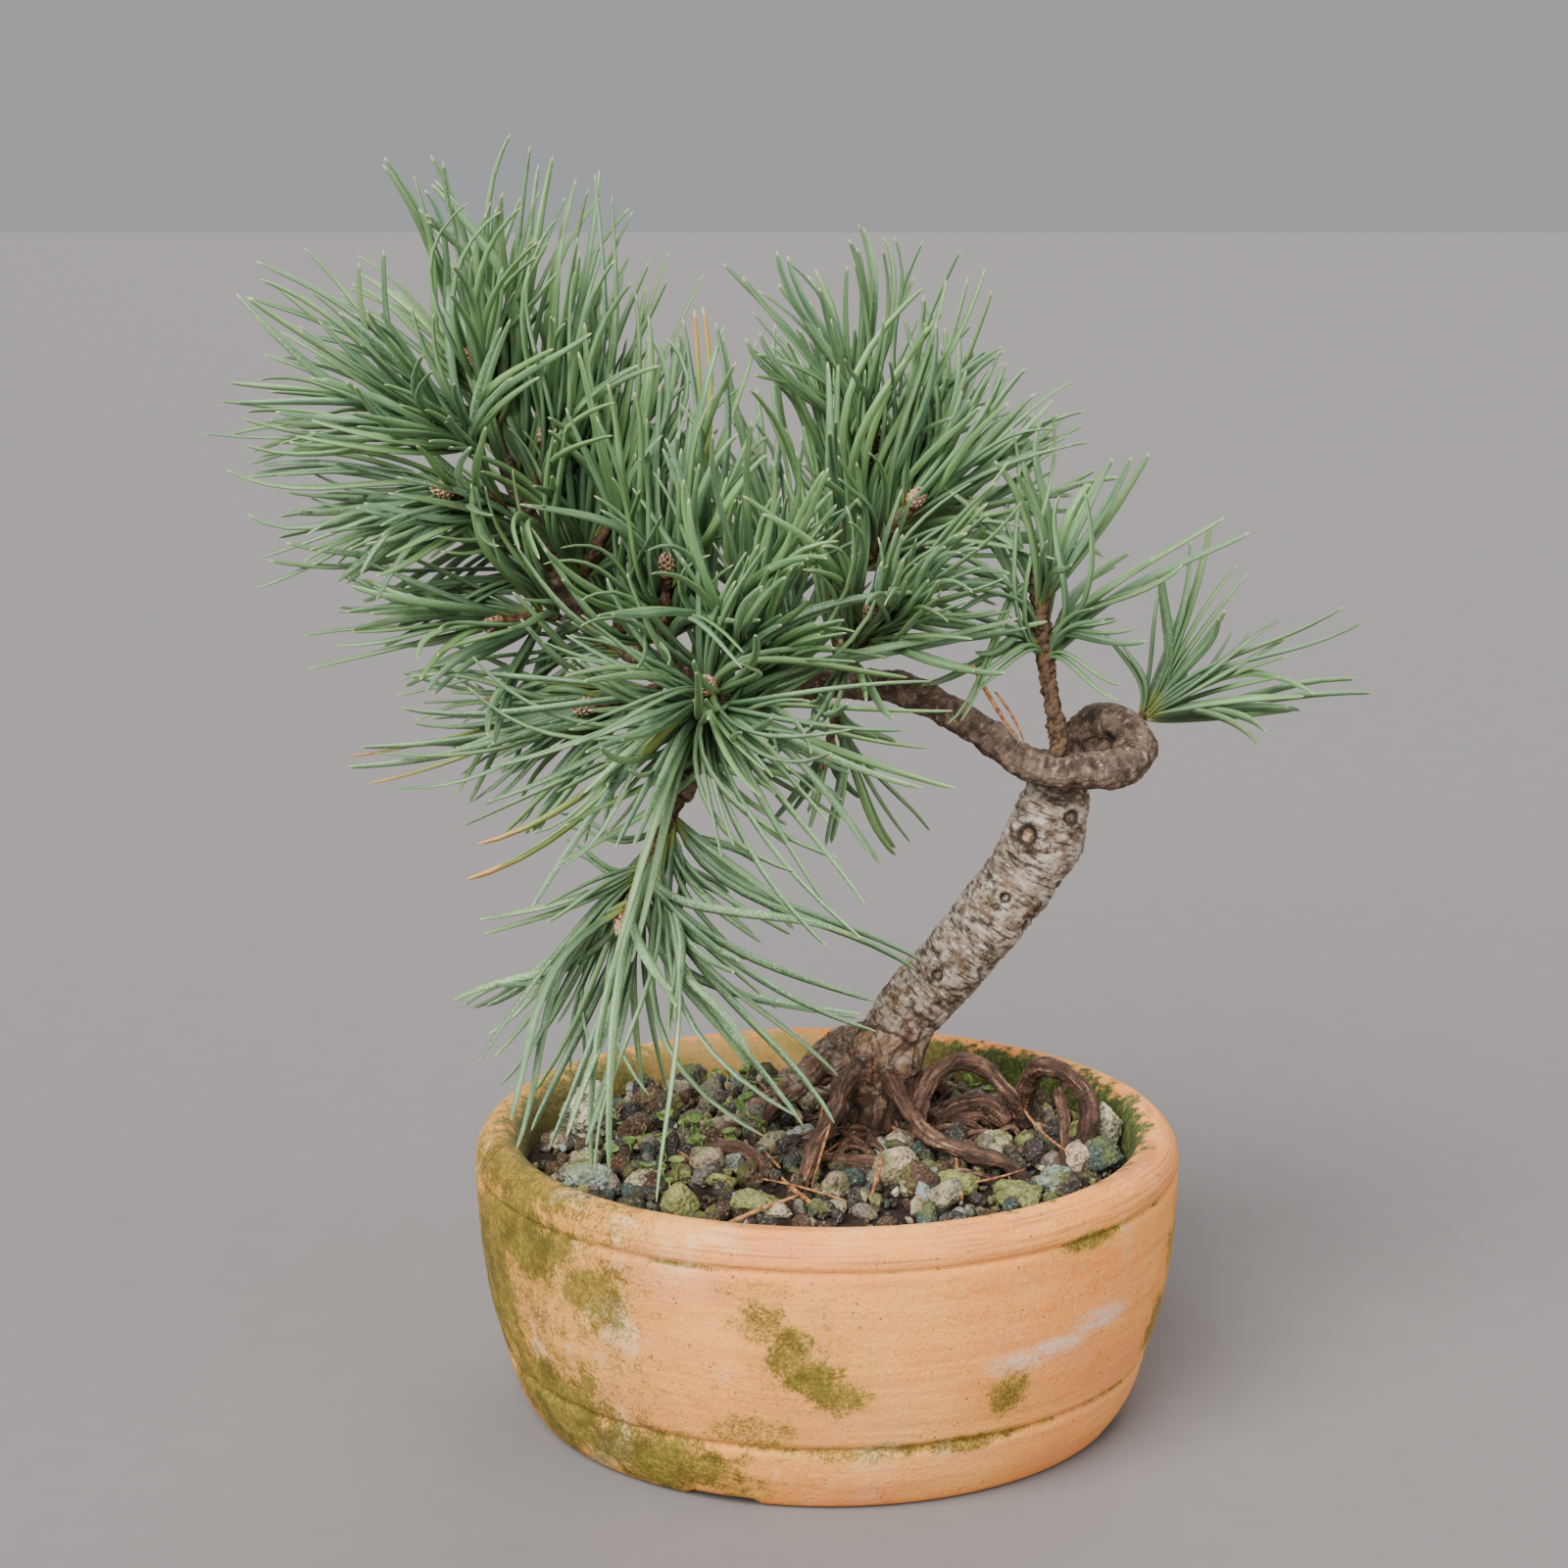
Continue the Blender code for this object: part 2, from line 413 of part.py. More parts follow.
def make_soil(wood_paths):
    """The gritty soil that fills the bowl, with room for the wood, roots and stones in it."""
    recess = MESH_WIDTH * 0.8
    bottom = FLOOR_TOP + GAP
    over_mesh = bottom + MESH_THICKNESS + GAP
    profile = [(0, over_mesh), (recess, over_mesh), (recess, bottom)] + SOIL_WALL
    profile += [(radius, SOIL_EDGE_HEIGHT) for radius in reversed(SOIL_RADII)]
    profile += [(0, SOIL_CENTRE_HEIGHT)]
    made = lathe(profile, SOIL_SIDES, closed=False)
    for vert in made.verts:
        if vert.co.z >= SOIL_EDGE_HEIGHT:
            vert.co.z = soil_height(vert.co.x, vert.co.y)
    soil = finish("soil", made, (0, 0, 0), material("soil", (0.10, 0.075, 0.055), 0.95))
    for name, (path, sides) in wood_paths.items():
        cut(soil, finish("room_for_" + name, tube(path, sides, extra=ROOM_AROUND_WOOD), (0, 0, 0), None))
    for index, (name, row) in enumerate(STONES.items()):
        shape = stone(row[3], row[4], row[5], index, extra=GAP)
        room = finish("room_for_" + name, shape, (0, 0, 0), None)
        room.location = Vector(row[:3]) * MM
        cut(soil, room)


def make_stones():
    """The larger pebbles that lie on the soil."""
    colours = [(0.62, 0.58, 0.48), (0.58, 0.52, 0.42), (0.30, 0.33, 0.30), (0.40, 0.42, 0.26)]
    for index, (name, row) in enumerate(STONES.items()):
        shape = stone(row[3], row[4], row[5], index)
        made = finish(name, shape, (0, 0, 0), material(name, colours[index % len(colours)], 0.9))
        made.location = Vector(row[:3]) * MM


def make_wood():
    """The trunk, its branches and the roots that show; returns the paths that the soil meets."""
    bark = material("bark", BARK, 0.9)
    twig_bark = material("twig_bark", TWIG_BARK, 0.9)
    trunk = smooth_path(TRUNK, 5.0)
    finish("trunk", tube(trunk, WOOD_SIDES), TRUNK[1][:3], bark)
    branch = smooth_path(MAIN_BRANCH, 4.0)
    finish("main_branch", tube(branch, WOOD_SIDES), MAIN_BRANCH[0][:3], bark)
    apex = smooth_path(APEX_BRANCH, 5.0)
    finish("apex_branch", tube(apex, ROOT_SIDES), APEX_BRANCH[0][:3], twig_bark)
    centre = smooth_path(CENTRE_BRANCH, 5.0)
    finish("centre_branch", tube(centre, ROOT_SIDES), CENTRE_BRANCH[0][:3], twig_bark)
    buried = {"trunk": (trunk, WOOD_SIDES)}
    for name, rows in ROOTS.items():
        path = smooth_path(rows, 4.0)
        finish(name, tube(path, ROOT_SIDES), rows[0][:3], bark)
        buried[name] = (path, ROOT_SIDES)
    standing = [trunk, branch, apex, centre] + [path for path, _ in buried.values()]
    return buried, standing


def samples(start, end, count=9):
    """Points along a straight stretch."""
    share = np.linspace(0, 1, count)[:, None]
    return np.array(start)[None] * (1 - share) + np.array(end)[None] * share


def nearest(points, others):
    """The smallest distance between two sets of points, each other with its radius taken off."""
    if len(others) == 0:
        return math.inf
    apart = np.linalg.norm(points[:, None] - others[None, :, :3], axis=2) - others[None, :, 3]
    return apart.min()


def above_bowl(points):
    """Whether every point keeps clear of the bowl and what is in it."""
    inside = np.hypot(points[:, 0], points[:, 1]) < BOWL_OUTSIDE[-1][0] + BOWL_CLEARANCE
    return bool(np.all(points[inside][:, 2] > RIM_CLEARANCE))


def grow_needle(made, face, tip, axis, taken, own):
    """Draw a face of the stem out into one bent needle, if it keeps clear of everything."""
    centre = face.calc_center_median()
    reach = tip - centre
    lean = (axis * NEEDLE_AXIAL + face.normal * NEEDLE_OUTWARD).normalized()
    bend = centre + reach * NEEDLE_BEND + (lean - reach.normalized()) * reach.length * NEEDLE_BOW
    first = samples(centre, bend)
    second = samples(bend, tip)
    whole = np.vstack([first, second])
    apart = min(nearest(whole[1:], taken), nearest(whole[SHARED_START:], own))
    if apart < NEEDLE_CLEARANCE:
        return None
    if not above_bowl(whole):
        return None
    corners = list(face.verts)
    along = reach.normalized()
    ring = []
    for vert in corners:
        offset = vert.co - centre
        offset = (offset - along * offset.dot(along)).normalized()
        ring.append(made.verts.new(bend + offset * NEEDLE_HALF_WIDTH))
    point = made.verts.new(tip)
    made.faces.remove(face)
    for step in range(len(corners)):
        after = (step + 1) % len(corners)
        made.faces.new((corners[step], corners[after], ring[after], ring[step]))
        made.faces.new((ring[step], ring[after], point))
    return whole


def make_shoot(name, stem, tips, taken, surface):
    """A green shoot: its stem, its needles and the bud on its end, as one solid."""
    path = smooth_path(stem, RING_STEP)
    end = Vector(path[-1][:3])
    axis_end = (end - Vector(path[-2][:3])).normalized()
    bud = [(*(end + axis_end * BUD_LENGTH * share), stem[-1][3] * width) for share, width in BUD_SHAPE]
    path = np.vstack([path, bud])
    made = tube(path, SHOOT_SIDES)
    bmesh.ops.recalc_face_normals(made, faces=made.faces)
    free = [face for face in made.faces if len(face.verts) == 4]
    frames = ring_frames(path)
    own = np.zeros((0, 4))
    for goal in tips:
        for attempt in range(NEEDLE_TRIES):
            drift = NEEDLE_WANDER * attempt
            tip = Vector(goal) + Vector([random.uniform(-drift, drift) for _ in range(3)])
            best = max(free, key=lambda face: face_fit(face, tip, end))
            centre, side, up = min(frames, key=lambda row: (row[0] - best.calc_center_median()).length)
            grown = grow_needle(made, best, tip, side.cross(up), taken, own)
            if grown is not None:
                free.remove(best)
                own = np.vstack([own, np.column_stack([grown, np.zeros(len(grown))])])
                break
    finish(name, made, stem[0][:3], surface)
    return np.vstack([own, with_radius(path)])


def face_fit(face, tip, end):
    """How well a stem face suits a needle to a tip: it faces the tip and is near the end."""
    centre = face.calc_center_median()
    toward = (tip - centre).normalized()
    return face.normal.dot(toward) - NEEDLE_NEAR_END * (centre - end).length


def with_radius(path):
    """A wood path as sample points, each with its radius less the needle's own allowance."""
    points = []
    for start, end in zip(path, path[1:]):
        row = samples(start[:3], end[:3], 4)
        radius = max(start[3], end[3]) - WOOD_ALLOWANCE
        points.append(np.column_stack([row, np.full(len(row), radius)]))
    return np.vstack(points)


def make_shoots(standing):
    """Every shoot in turn, each keeping clear of the wood and of the shoots before it."""
    green = material("needles", NEEDLE_GREEN, 0.6)
    wood = np.vstack([with_radius(path) for path in standing])
    stems = {name: with_radius(smooth_path(stem, RING_STEP)) for name, (stem, _) in SHOOTS.items()}
    grown = {}
    for name, (stem, tips) in SHOOTS.items():
        others = [points for key, points in stems.items() if key != name]
        taken = np.vstack([wood] + others + list(grown.values()))
        grown[name] = make_shoot(name, stem, tips, taken, green)


def centre_on_origin():
    """Move every piece so that the middle of the whole box stands over the origin."""
    bpy.context.view_layer.update()
    shown = [thing for thing in bpy.data.objects if not thing.hide_render]
    corners = [thing.matrix_world @ Vector(corner) for thing in shown for corner in thing.bound_box]
    middle = [(min(c[axis] for c in corners) + max(c[axis] for c in corners)) / 2 for axis in (0, 1)]
    for thing in bpy.data.objects:
        thing.location.x -= middle[0]
        thing.location.y -= middle[1]


def main():
    random.seed(SEED)
    clear_scene()
    make_bowl()
    make_drain_mesh()
    buried, standing = make_wood()
    make_soil(buried)
    make_stones()
    make_shoots(standing)
    centre_on_origin()


main()
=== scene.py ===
"""Looks of the small pine bonsai: weathered bowl, gritty soil, bark, buds and needles.

Tables are in millimetres from the bowl's axis and the surface it stands on; place() and
new_piece() turn them into the frame's metres.
"""
import math
import random

import bmesh
import bpy
import numpy as np
from mathutils import Euler, Matrix, Vector, kdtree, noise


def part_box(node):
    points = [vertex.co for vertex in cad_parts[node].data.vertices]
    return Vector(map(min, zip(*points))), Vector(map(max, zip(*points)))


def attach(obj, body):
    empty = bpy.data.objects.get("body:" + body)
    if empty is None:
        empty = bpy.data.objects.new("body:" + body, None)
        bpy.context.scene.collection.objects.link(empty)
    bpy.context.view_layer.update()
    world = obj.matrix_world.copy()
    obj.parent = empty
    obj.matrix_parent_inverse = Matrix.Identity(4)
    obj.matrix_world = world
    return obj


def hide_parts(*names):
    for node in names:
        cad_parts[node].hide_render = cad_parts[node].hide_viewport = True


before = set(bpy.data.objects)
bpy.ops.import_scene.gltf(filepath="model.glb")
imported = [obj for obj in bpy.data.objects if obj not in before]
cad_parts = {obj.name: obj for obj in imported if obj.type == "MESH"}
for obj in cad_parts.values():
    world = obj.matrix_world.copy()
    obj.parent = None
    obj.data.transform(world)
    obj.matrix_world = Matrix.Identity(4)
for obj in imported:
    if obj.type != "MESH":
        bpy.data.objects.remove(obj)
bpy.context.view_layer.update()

MM = 0.001
SEED = 23
BOWL_LOW, BOWL_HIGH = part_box("bowl")
AXIS = Vector(((BOWL_LOW.x + BOWL_HIGH.x) / 2, (BOWL_LOW.y + BOWL_HIGH.y) / 2, BOWL_LOW.z))

# ---- camera and light ----
CAMERA_PLACE = (-8.2, -595.0, 242.6)
CAMERA_DOWN = math.radians(11.7)
CAMERA_LENS = 74.9
FLOOR_SIZE = 12.0
FLOOR_TONES = (122, 118, 116), (129, 125, 123)
SKY_TONE = (228, 231, 236)
SKY_STRENGTH = 0.48
SUN_SOFTNESS = math.radians(48)
SUNS = [("key", (-5, -8, 8), 6.6), ("fill", (8, -6, 4), 1.4), ("back", (3, 9, 7), 1.5)]  # from, strength

# ---- bowl ----
BOWL_SIDES = 288
BOWL_OUTSIDE = [(54.6, 0.0), (56.0, 0.5), (57.1, 1.8), (58.6, 4.2), (60.0, 7.2), (61.2, 11.6),
                (61.0, 12.5), (60.6, 13.0), (61.2, 13.5), (61.9, 14.1), (63.2, 18.4), (64.4, 23.2),
                (65.3, 28.5), (66.0, 34.4), (66.4, 40.5), (66.6, 46.2), (66.3, 47.1), (65.9, 47.5),
                (66.3, 47.9), (66.6, 48.8)]
BOWL_RIM = [(66.3, 50.6), (65.3, 52.6), (63.9, 53.9), (62.4, 54.4), (60.9, 54.2), (59.5, 53.4),
            (58.6, 52.2), (58.1, 50.6)]
BOWL_INSIDE = [(57.4, 42.0), (55.2, 27.0), (51.0, 14.5), (44.0, 9.0), (7.0, 8.0)]
BOWL_UNDER = [(7.0, 3.0), (46.0, 3.0), (47.4, 2.2), (48.0, 0.0)]
FOOT_HEIGHT = 3.2
FOOT_INSIDE = 46.0
NOTCHES = 4
NOTCH_ANGLE = math.radians(-110)
NOTCH_HALF_WIDTH = 7.0
NOTCH_HEIGHT = 1.8
NOTCH_SLOPE = 2.0
THROWING_LINE_DEPTH = 0.10
UNEVENNESS = 0.25
THROWN_FROM = 1.5
PATCH_SOFTNESS = (1.25, 0.35)
ALGAE = [  # centre, half sizes, strength
    ((-56, -38, 44), (18, 34, 10), 1.12), ((-42, -53, 38), (11, 16, 10), 0.95),
    ((-62, -20, 30), (10, 34, 24), 1.1), ((-33, -52, 7), (26, 24, 9), 1.15),
    ((-50, -36, 12), (18, 30, 14), 1.1),
    ((-44, -48, 24), (20, 24, 12), 0.5), ((-58, -30, 53), (26, 34, 6), 1.0),
    ((-12, -64, 38), (6, 13, 6), 0.8), ((-7, -64, 33), (6, 13, 7), 0.95), ((-3, -64, 28), (7, 14, 6), 1.1),
    ((2, -64, 23.5), (7, 14, 5), 0.95), ((-14, -62, 16), (12, 14, 5), 0.6),
    ((31, -58, 21.5), (5, 12, 6), 0.95), ((-4, -64, 30), (16, 14, 15), 0.42),
    ((63, -24, 19), (6, 16, 10), 1.0), ((65, -14, 34), (4, 20, 12), 0.7),
    ((46, -48, 47.2), (13, 12, 2.0), 1.0),
    ((24, -58, 12.8), (20, 10, 2.2), 0.9), ((4, -62, 12.6), (16, 10, 3.0), 0.7),
    ((-14, -64, 44), (10, 10, 3), 0.45), ((-46, 42, 24), (30, 30, 22), 0.7),
    ((30, 56, 12), (28, 20, 9), 0.6), ((58, 26, 38), (14, 20, 8), 0.55), ((-10, 60, 46), (20, 20, 4), 0.6),
]
SALTS = [((33, -57, 27.5), (7, 12, 2.6)), ((40, -53, 29.0), (8, 12, 2.2)), ((48, -46, 31.5), (8, 12, 2.6))]
ROSY_PATCH = ((-28, -58, 46), (15, 14, 6))
GROOVES = ((0.0130, 0.0013), (0.0475, 0.0010))      # height and half width of their algae, in metres

# ---- soil ----
SOIL_RADIUS = 57.0
SOIL_CENTRE_HEIGHT = 52.0
SOIL_EDGE_HEIGHT = 46.5
SOIL_LUMPS = 9.0
SOIL_RINGS = 60
SOIL_SIDES = 160
SOIL_WALL = ((56.4, 42.0), (54.2, 27.0), (49.8, 15.0), (43.0, 9.6))

# ---- wood: x, y, z, radius ----
TRUNK = [(8, 8, 47, 8.5), (9, 7, 57, 8.6), (11, 6, 64, 7.6), (13.5, 6, 70, 6.9), (17, 5, 76, 6.7),
         (21, 5, 80.5, 6.9), (25.5, 4, 86, 7.0), (31, 3, 93.5, 7.1), (36.5, 3, 101, 7.2),
         (40.5, 2, 109, 7.6), (43.2, 2, 117.4, 6.6), (44, 2.1, 119.5, 5.4)]
MAIN_BRANCH = [(42.8, 1.6, 116.5, 5.0), (44.8, 2.9, 121.6, 4.8), (46.6, 5.6, 125.4, 4.4),
               (49.6, 5.6, 129.4, 4.0), (53.8, 3, 130, 3.8), (56.8, -1, 127.8, 3.8),
               (56.4, -5.6, 125.2, 3.7), (52.6, -8.6, 124, 3.6), (48, -9.5, 123.8, 3.5),
               (43, -9.5, 123.6, 3.4), (36.3, -8, 125.2, 3.3), (30, -6, 129.2, 3.3),
               (24, -4, 132.8, 3.2), (17, -2, 136.4, 3.2), (11, 0, 138, 3.1), (4.6, 1, 138.2, 3.0),
               (-3, 1, 138, 2.8), (-12, -2, 135.4, 2.7), (-20, -5, 132.4, 2.6),
               (-24.4, -9, 127.4, 2.6), (-26, -12, 122.6, 2.5), (-27, -14, 119.6, 1.8)]
APEX_BRANCH = [(-16, -3.4, 134.5, 1.9), (-19.5, -3, 138.0, 1.9), (-26, 0, 141.4, 2.0),
               (-35, 4, 143, 2.1), (-43, 7, 147, 2.2), (-49, 8, 154, 2.2), (-53, 8, 163, 2.0),
               (-57.5, 6, 173, 1.9), (-61, 3.8, 183, 1.7)]
CENTRE_BRANCH = [(3.4, 1, 138, 2.0), (3, 2, 142, 1.9), (2, 5, 149, 1.9), (1, 8, 158, 1.8),
                 (2.3, 9, 167.5, 1.6)]
ROOT_PATHS = [
    [(9, 11, 68, 3.6), (1.6, 12.6, 64.6, 3.3), (-1.4, 9, 62.6, 3.1), (-6, 4, 59.5, 2.8),
     (-11, 4, 56, 2.2), (-17, 9, 52.5, 1.6), (-21, 11, 48, 1.2)],
    [(8, 3, 66, 2.4), (2.8, -5, 62.5, 1.9), (1, -14, 59.5, 1.8), (-3, -21, 55, 1.7),
     (-5, -28, 49, 1.6), (-5.5, -30, 45, 1.5)],
    [(10, 2, 66, 2.3), (12.5, -5.4, 62.5, 1.8), (15.5, -12, 59, 1.7), (19, -17, 56, 1.7),
     (26, -19.5, 54, 1.7), (33, -20, 52, 1.6), (38, -20, 47, 1.5)],
    [(17.5, -9, 45.5, 1.7), (16.6, -8.4, 53, 1.7), (17.4, -7, 59, 1.8), (20, -3, 63.6, 1.8),
     (24.4, 0, 65.4, 1.8), (29.4, 1, 64, 1.7), (34, 1, 59.4, 1.6), (37, 3, 54.6, 1.5), (40, 8, 47, 1.4)],
    [(38, 15, 47, 2.0), (39, 12.5, 57, 2.2), (41, 8, 62, 2.1), (45, 5.4, 62.4, 2.0),
     (48.6, 4.8, 59, 2.0), (50.2, 3, 54, 2.0), (48, 0, 47, 1.9)],
    [(-26, -16, 45, 1.4), (-24, -18, 51, 1.5), (-20, -18.6, 54.4, 1.6), (-15, -19.5, 54, 1.6),
     (-11.5, -23, 51, 1.5), (-10, -24, 46, 1.4)],
    [(11, 11, 66, 3.0), (14, 15.8, 61, 2.6), (18, 21, 56, 2.2), (24, 27, 52, 1.8), (29, 31, 46.5, 1.4)],
    # thinner ones that lie between the larger roots
    [(-6, -14, 48, 1.5), (-2, -17, 51.4, 1.7), (4, -20, 52.2, 1.8), (10, -21.4, 52, 1.8),
     (17, -18, 48, 1.5)],
    [(-9, 3, 57.5, 1.3), (-11.5, -1, 55, 1.2), (-12.6, -4, 50, 1.1)],
    [(44, 5, 58.6, 1.2), (44.6, -1, 57, 1.2), (44.4, -7, 54, 1.2), (44, -11, 48, 1.1)],
    [(6, 0, 62, 1.2), (1, -6, 59, 1.1), (-1.2, -13, 57, 1.0), (-1.6, -18, 52, 1.0), (-3.6, -27, 47, 0.9)],
    [(20, 2, 53, 2.2), (25, 4.6, 55.4, 2.4), (31, 6, 55, 2.2), (35, 4, 52, 1.8)],
    [(30, -22, 49, 1.4), (26, -24.6, 51.4, 1.3), (21, -25.4, 50.6, 1.2), (18, -28, 47, 1.0)],
    [(20, -9, 49, 1.5), (22, -13, 52.6, 1.5), (25, -14.4, 53, 1.4), (28, -13, 50, 1.2)],
]
TRUNK_KIND, PALE_ROOT_KIND, BRANCH_KIND, ROOT_KIND = 0.0, 0.05, 0.5, 1.0
# centre, size, brown heart, dark hollow (partly painted shade)
KNOTS = [((36.6, -4.4, 110.6), 3.3, 0.9, 0.0), ((45.4, -4.8, 113.8), 2.4, 0.0, 0.5),
         ((33.0, -3.8, 98.5), 1.6, 0.0, 0.3), ((20.5, -1.8, 83.0), 1.8, 0.3, 0.3),
         ((50.6, -1.8, 128.2), 3.4, 0.0, 1.0)]
WOOD_VOXEL = 0.5
WOOD_SIDES = 20
GRAIN_SHIFT = 37                # keeps one path's bark pattern apart from the next one's
FLAKY_HEIGHTS = (82, 60)        # where the trunk's flaky foot begins and is complete
KIND_SOFTENING = 30
ROOT_FLARE = 57.0
LOOP_FILLING = [(48.8, 5.2, 125.4, 2.6), (51.6, 3.0, 125.2, 2.6), (54, 0.4, 124.4, 2.4)]
FINE_ROOTS = 24
FINE_ROOT_START = 7
FINE_ROOT_STEPS = 5
FINE_ROOT_STEP = 5

# ---- stones that stand for the CAD ones: width, height, yaw in degrees, look, slot ----
STONES = {
    "stone_pumice": (8.6, 9.0, 20, "pale", "stone_pale"),
    "stone_cream_left": (7.0, 4.8, 0, "cream", "stone_cream"),
    "stone_blue": (7.6, 4.6, -30, "blue", "stone_pale"),
    "stone_cream_front": (6.8, 5.2, 50, "cream", "stone_cream"),
    "stone_moss_front": (7.1, 4.4, 10, "moss", "stone_moss"),
    "stone_grey_round": (5.4, 5.2, 0, "grey", "stone_dark"),
    "stone_grey_cream": (7.0, 5.2, 30, "cream", "stone_cream"),
    "stone_yellow": (7.0, 4.8, -20, "moss", "stone_moss"),
    "stone_cream_right": (5.4, 6.8, 80, "pale", "stone_cream"),
    "stone_teal": (6.4, 5.6, 40, "teal", "stone_dark"),
    "stone_moss_right": (8.2, 5.2, -15, "moss", "stone_moss"),
    "stone_slate": (6.7, 4.6, 60, "blue", "stone_dark"),
    "stone_dark_left": (5.8, 4.6, 70, "dark", "stone_dark"),
    "stone_back_left": (6.7, 4.8, 15, "cream", "stone_dark"),
    "stone_back": (7.4, 5.0, -40, "grey", "stone_dark"),
    "stone_back_right": (6.4, 4.6, 25, "teal", "stone_dark"),
}
STONE_COLOURS = {
    "pale": (214, 206, 172), "cream": (186, 168, 134), "blue": (150, 160, 146), "moss": (154, 154, 88),
    "grey": (124, 114, 102), "teal": (62, 80, 74), "dark": (56, 50, 46), "brown": (84, 58, 42),
}
ROCK_SHARPNESS = 15
ROCK_REACH = 0.62
# Weed leaflets: x, y and how many grow there.
LEAFLETS = [(-28, -8, 5), (-24, -2, 4), (-31, 2, 4), (-18, 4, 3), (-36, -12, 4), (-22, -16, 4),
            (-30, -22, 3), (-8, 24, 4), (-40, 8, 4), (-14, -4, 3), (30, 34, 4), (-20, 36, 4)]
DEAD_NEEDLES = [((37.5, 3, 55.5), (45.0, -19, 53.4)), ((9.6, -25, 55), (7.4, -38, 51.8)),
                ((-1, -8, 60), (-4.6, -31, 52.4)), ((1.4, -12, 60), (-3.2, -34, 52.2)),
                ((-18, -30, 51.6), (-28, -14, 52.6)), ((22, -30, 51.4), (36, -24, 52.4)),
                ((26, -12.5, 144), (34.5, -12.5, 130.4)), ((30, -12.5, 139), (35.5, -13, 129.4))]
DEAD_NEEDLE_COUNT = 15
LITTER_REACH = 50
DARK_LOOKS = ["dark"] * 8 + ["brown"] * 4
GRIT_LOOKS = DARK_LOOKS + ["brown"] * 4 + ["teal"] * 2 + ["grey"] * 2 + ["blue", "cream", "moss", "pale"]
PEBBLE_LOOKS = ["cream", "moss", "teal", "blue", "grey", "brown", "dark", "teal", "cream", "dark", "brown",
                "grey"]
LOOSE_ROCKS = [  # name, how many, smallest, largest, looks, subdivisions
    ("loose_pebbles", 150, 4.0, 7.4, PEBBLE_LOOKS, 3),
    ("loose_chips", 540, 2.2, 4.6, PEBBLE_LOOKS + DARK_LOOKS, 2),
    ("loose_grit", 1900, 0.9, 2.4, GRIT_LOOKS, 1),
]
ROCK_SHAPES = 14
ROCK_BREADTH = (0.65, 1.0)      # per size, as are the next two
ROCK_THICKNESS = (0.5, 0.85)
ROCK_LIFT = (-0.08, 0.26)
WALL_GAP = 0.3
LEAF_RINGS = ((0.0, 0.0), (0.10, 0.55), (0.26, 1.0), (0.14, 1.0), (-0.03, 0.55), (-0.12, 0.0))
LEAF_SIDES = 14
LEAF_CUP = 0.22
LEAF_SCATTER = 3.2

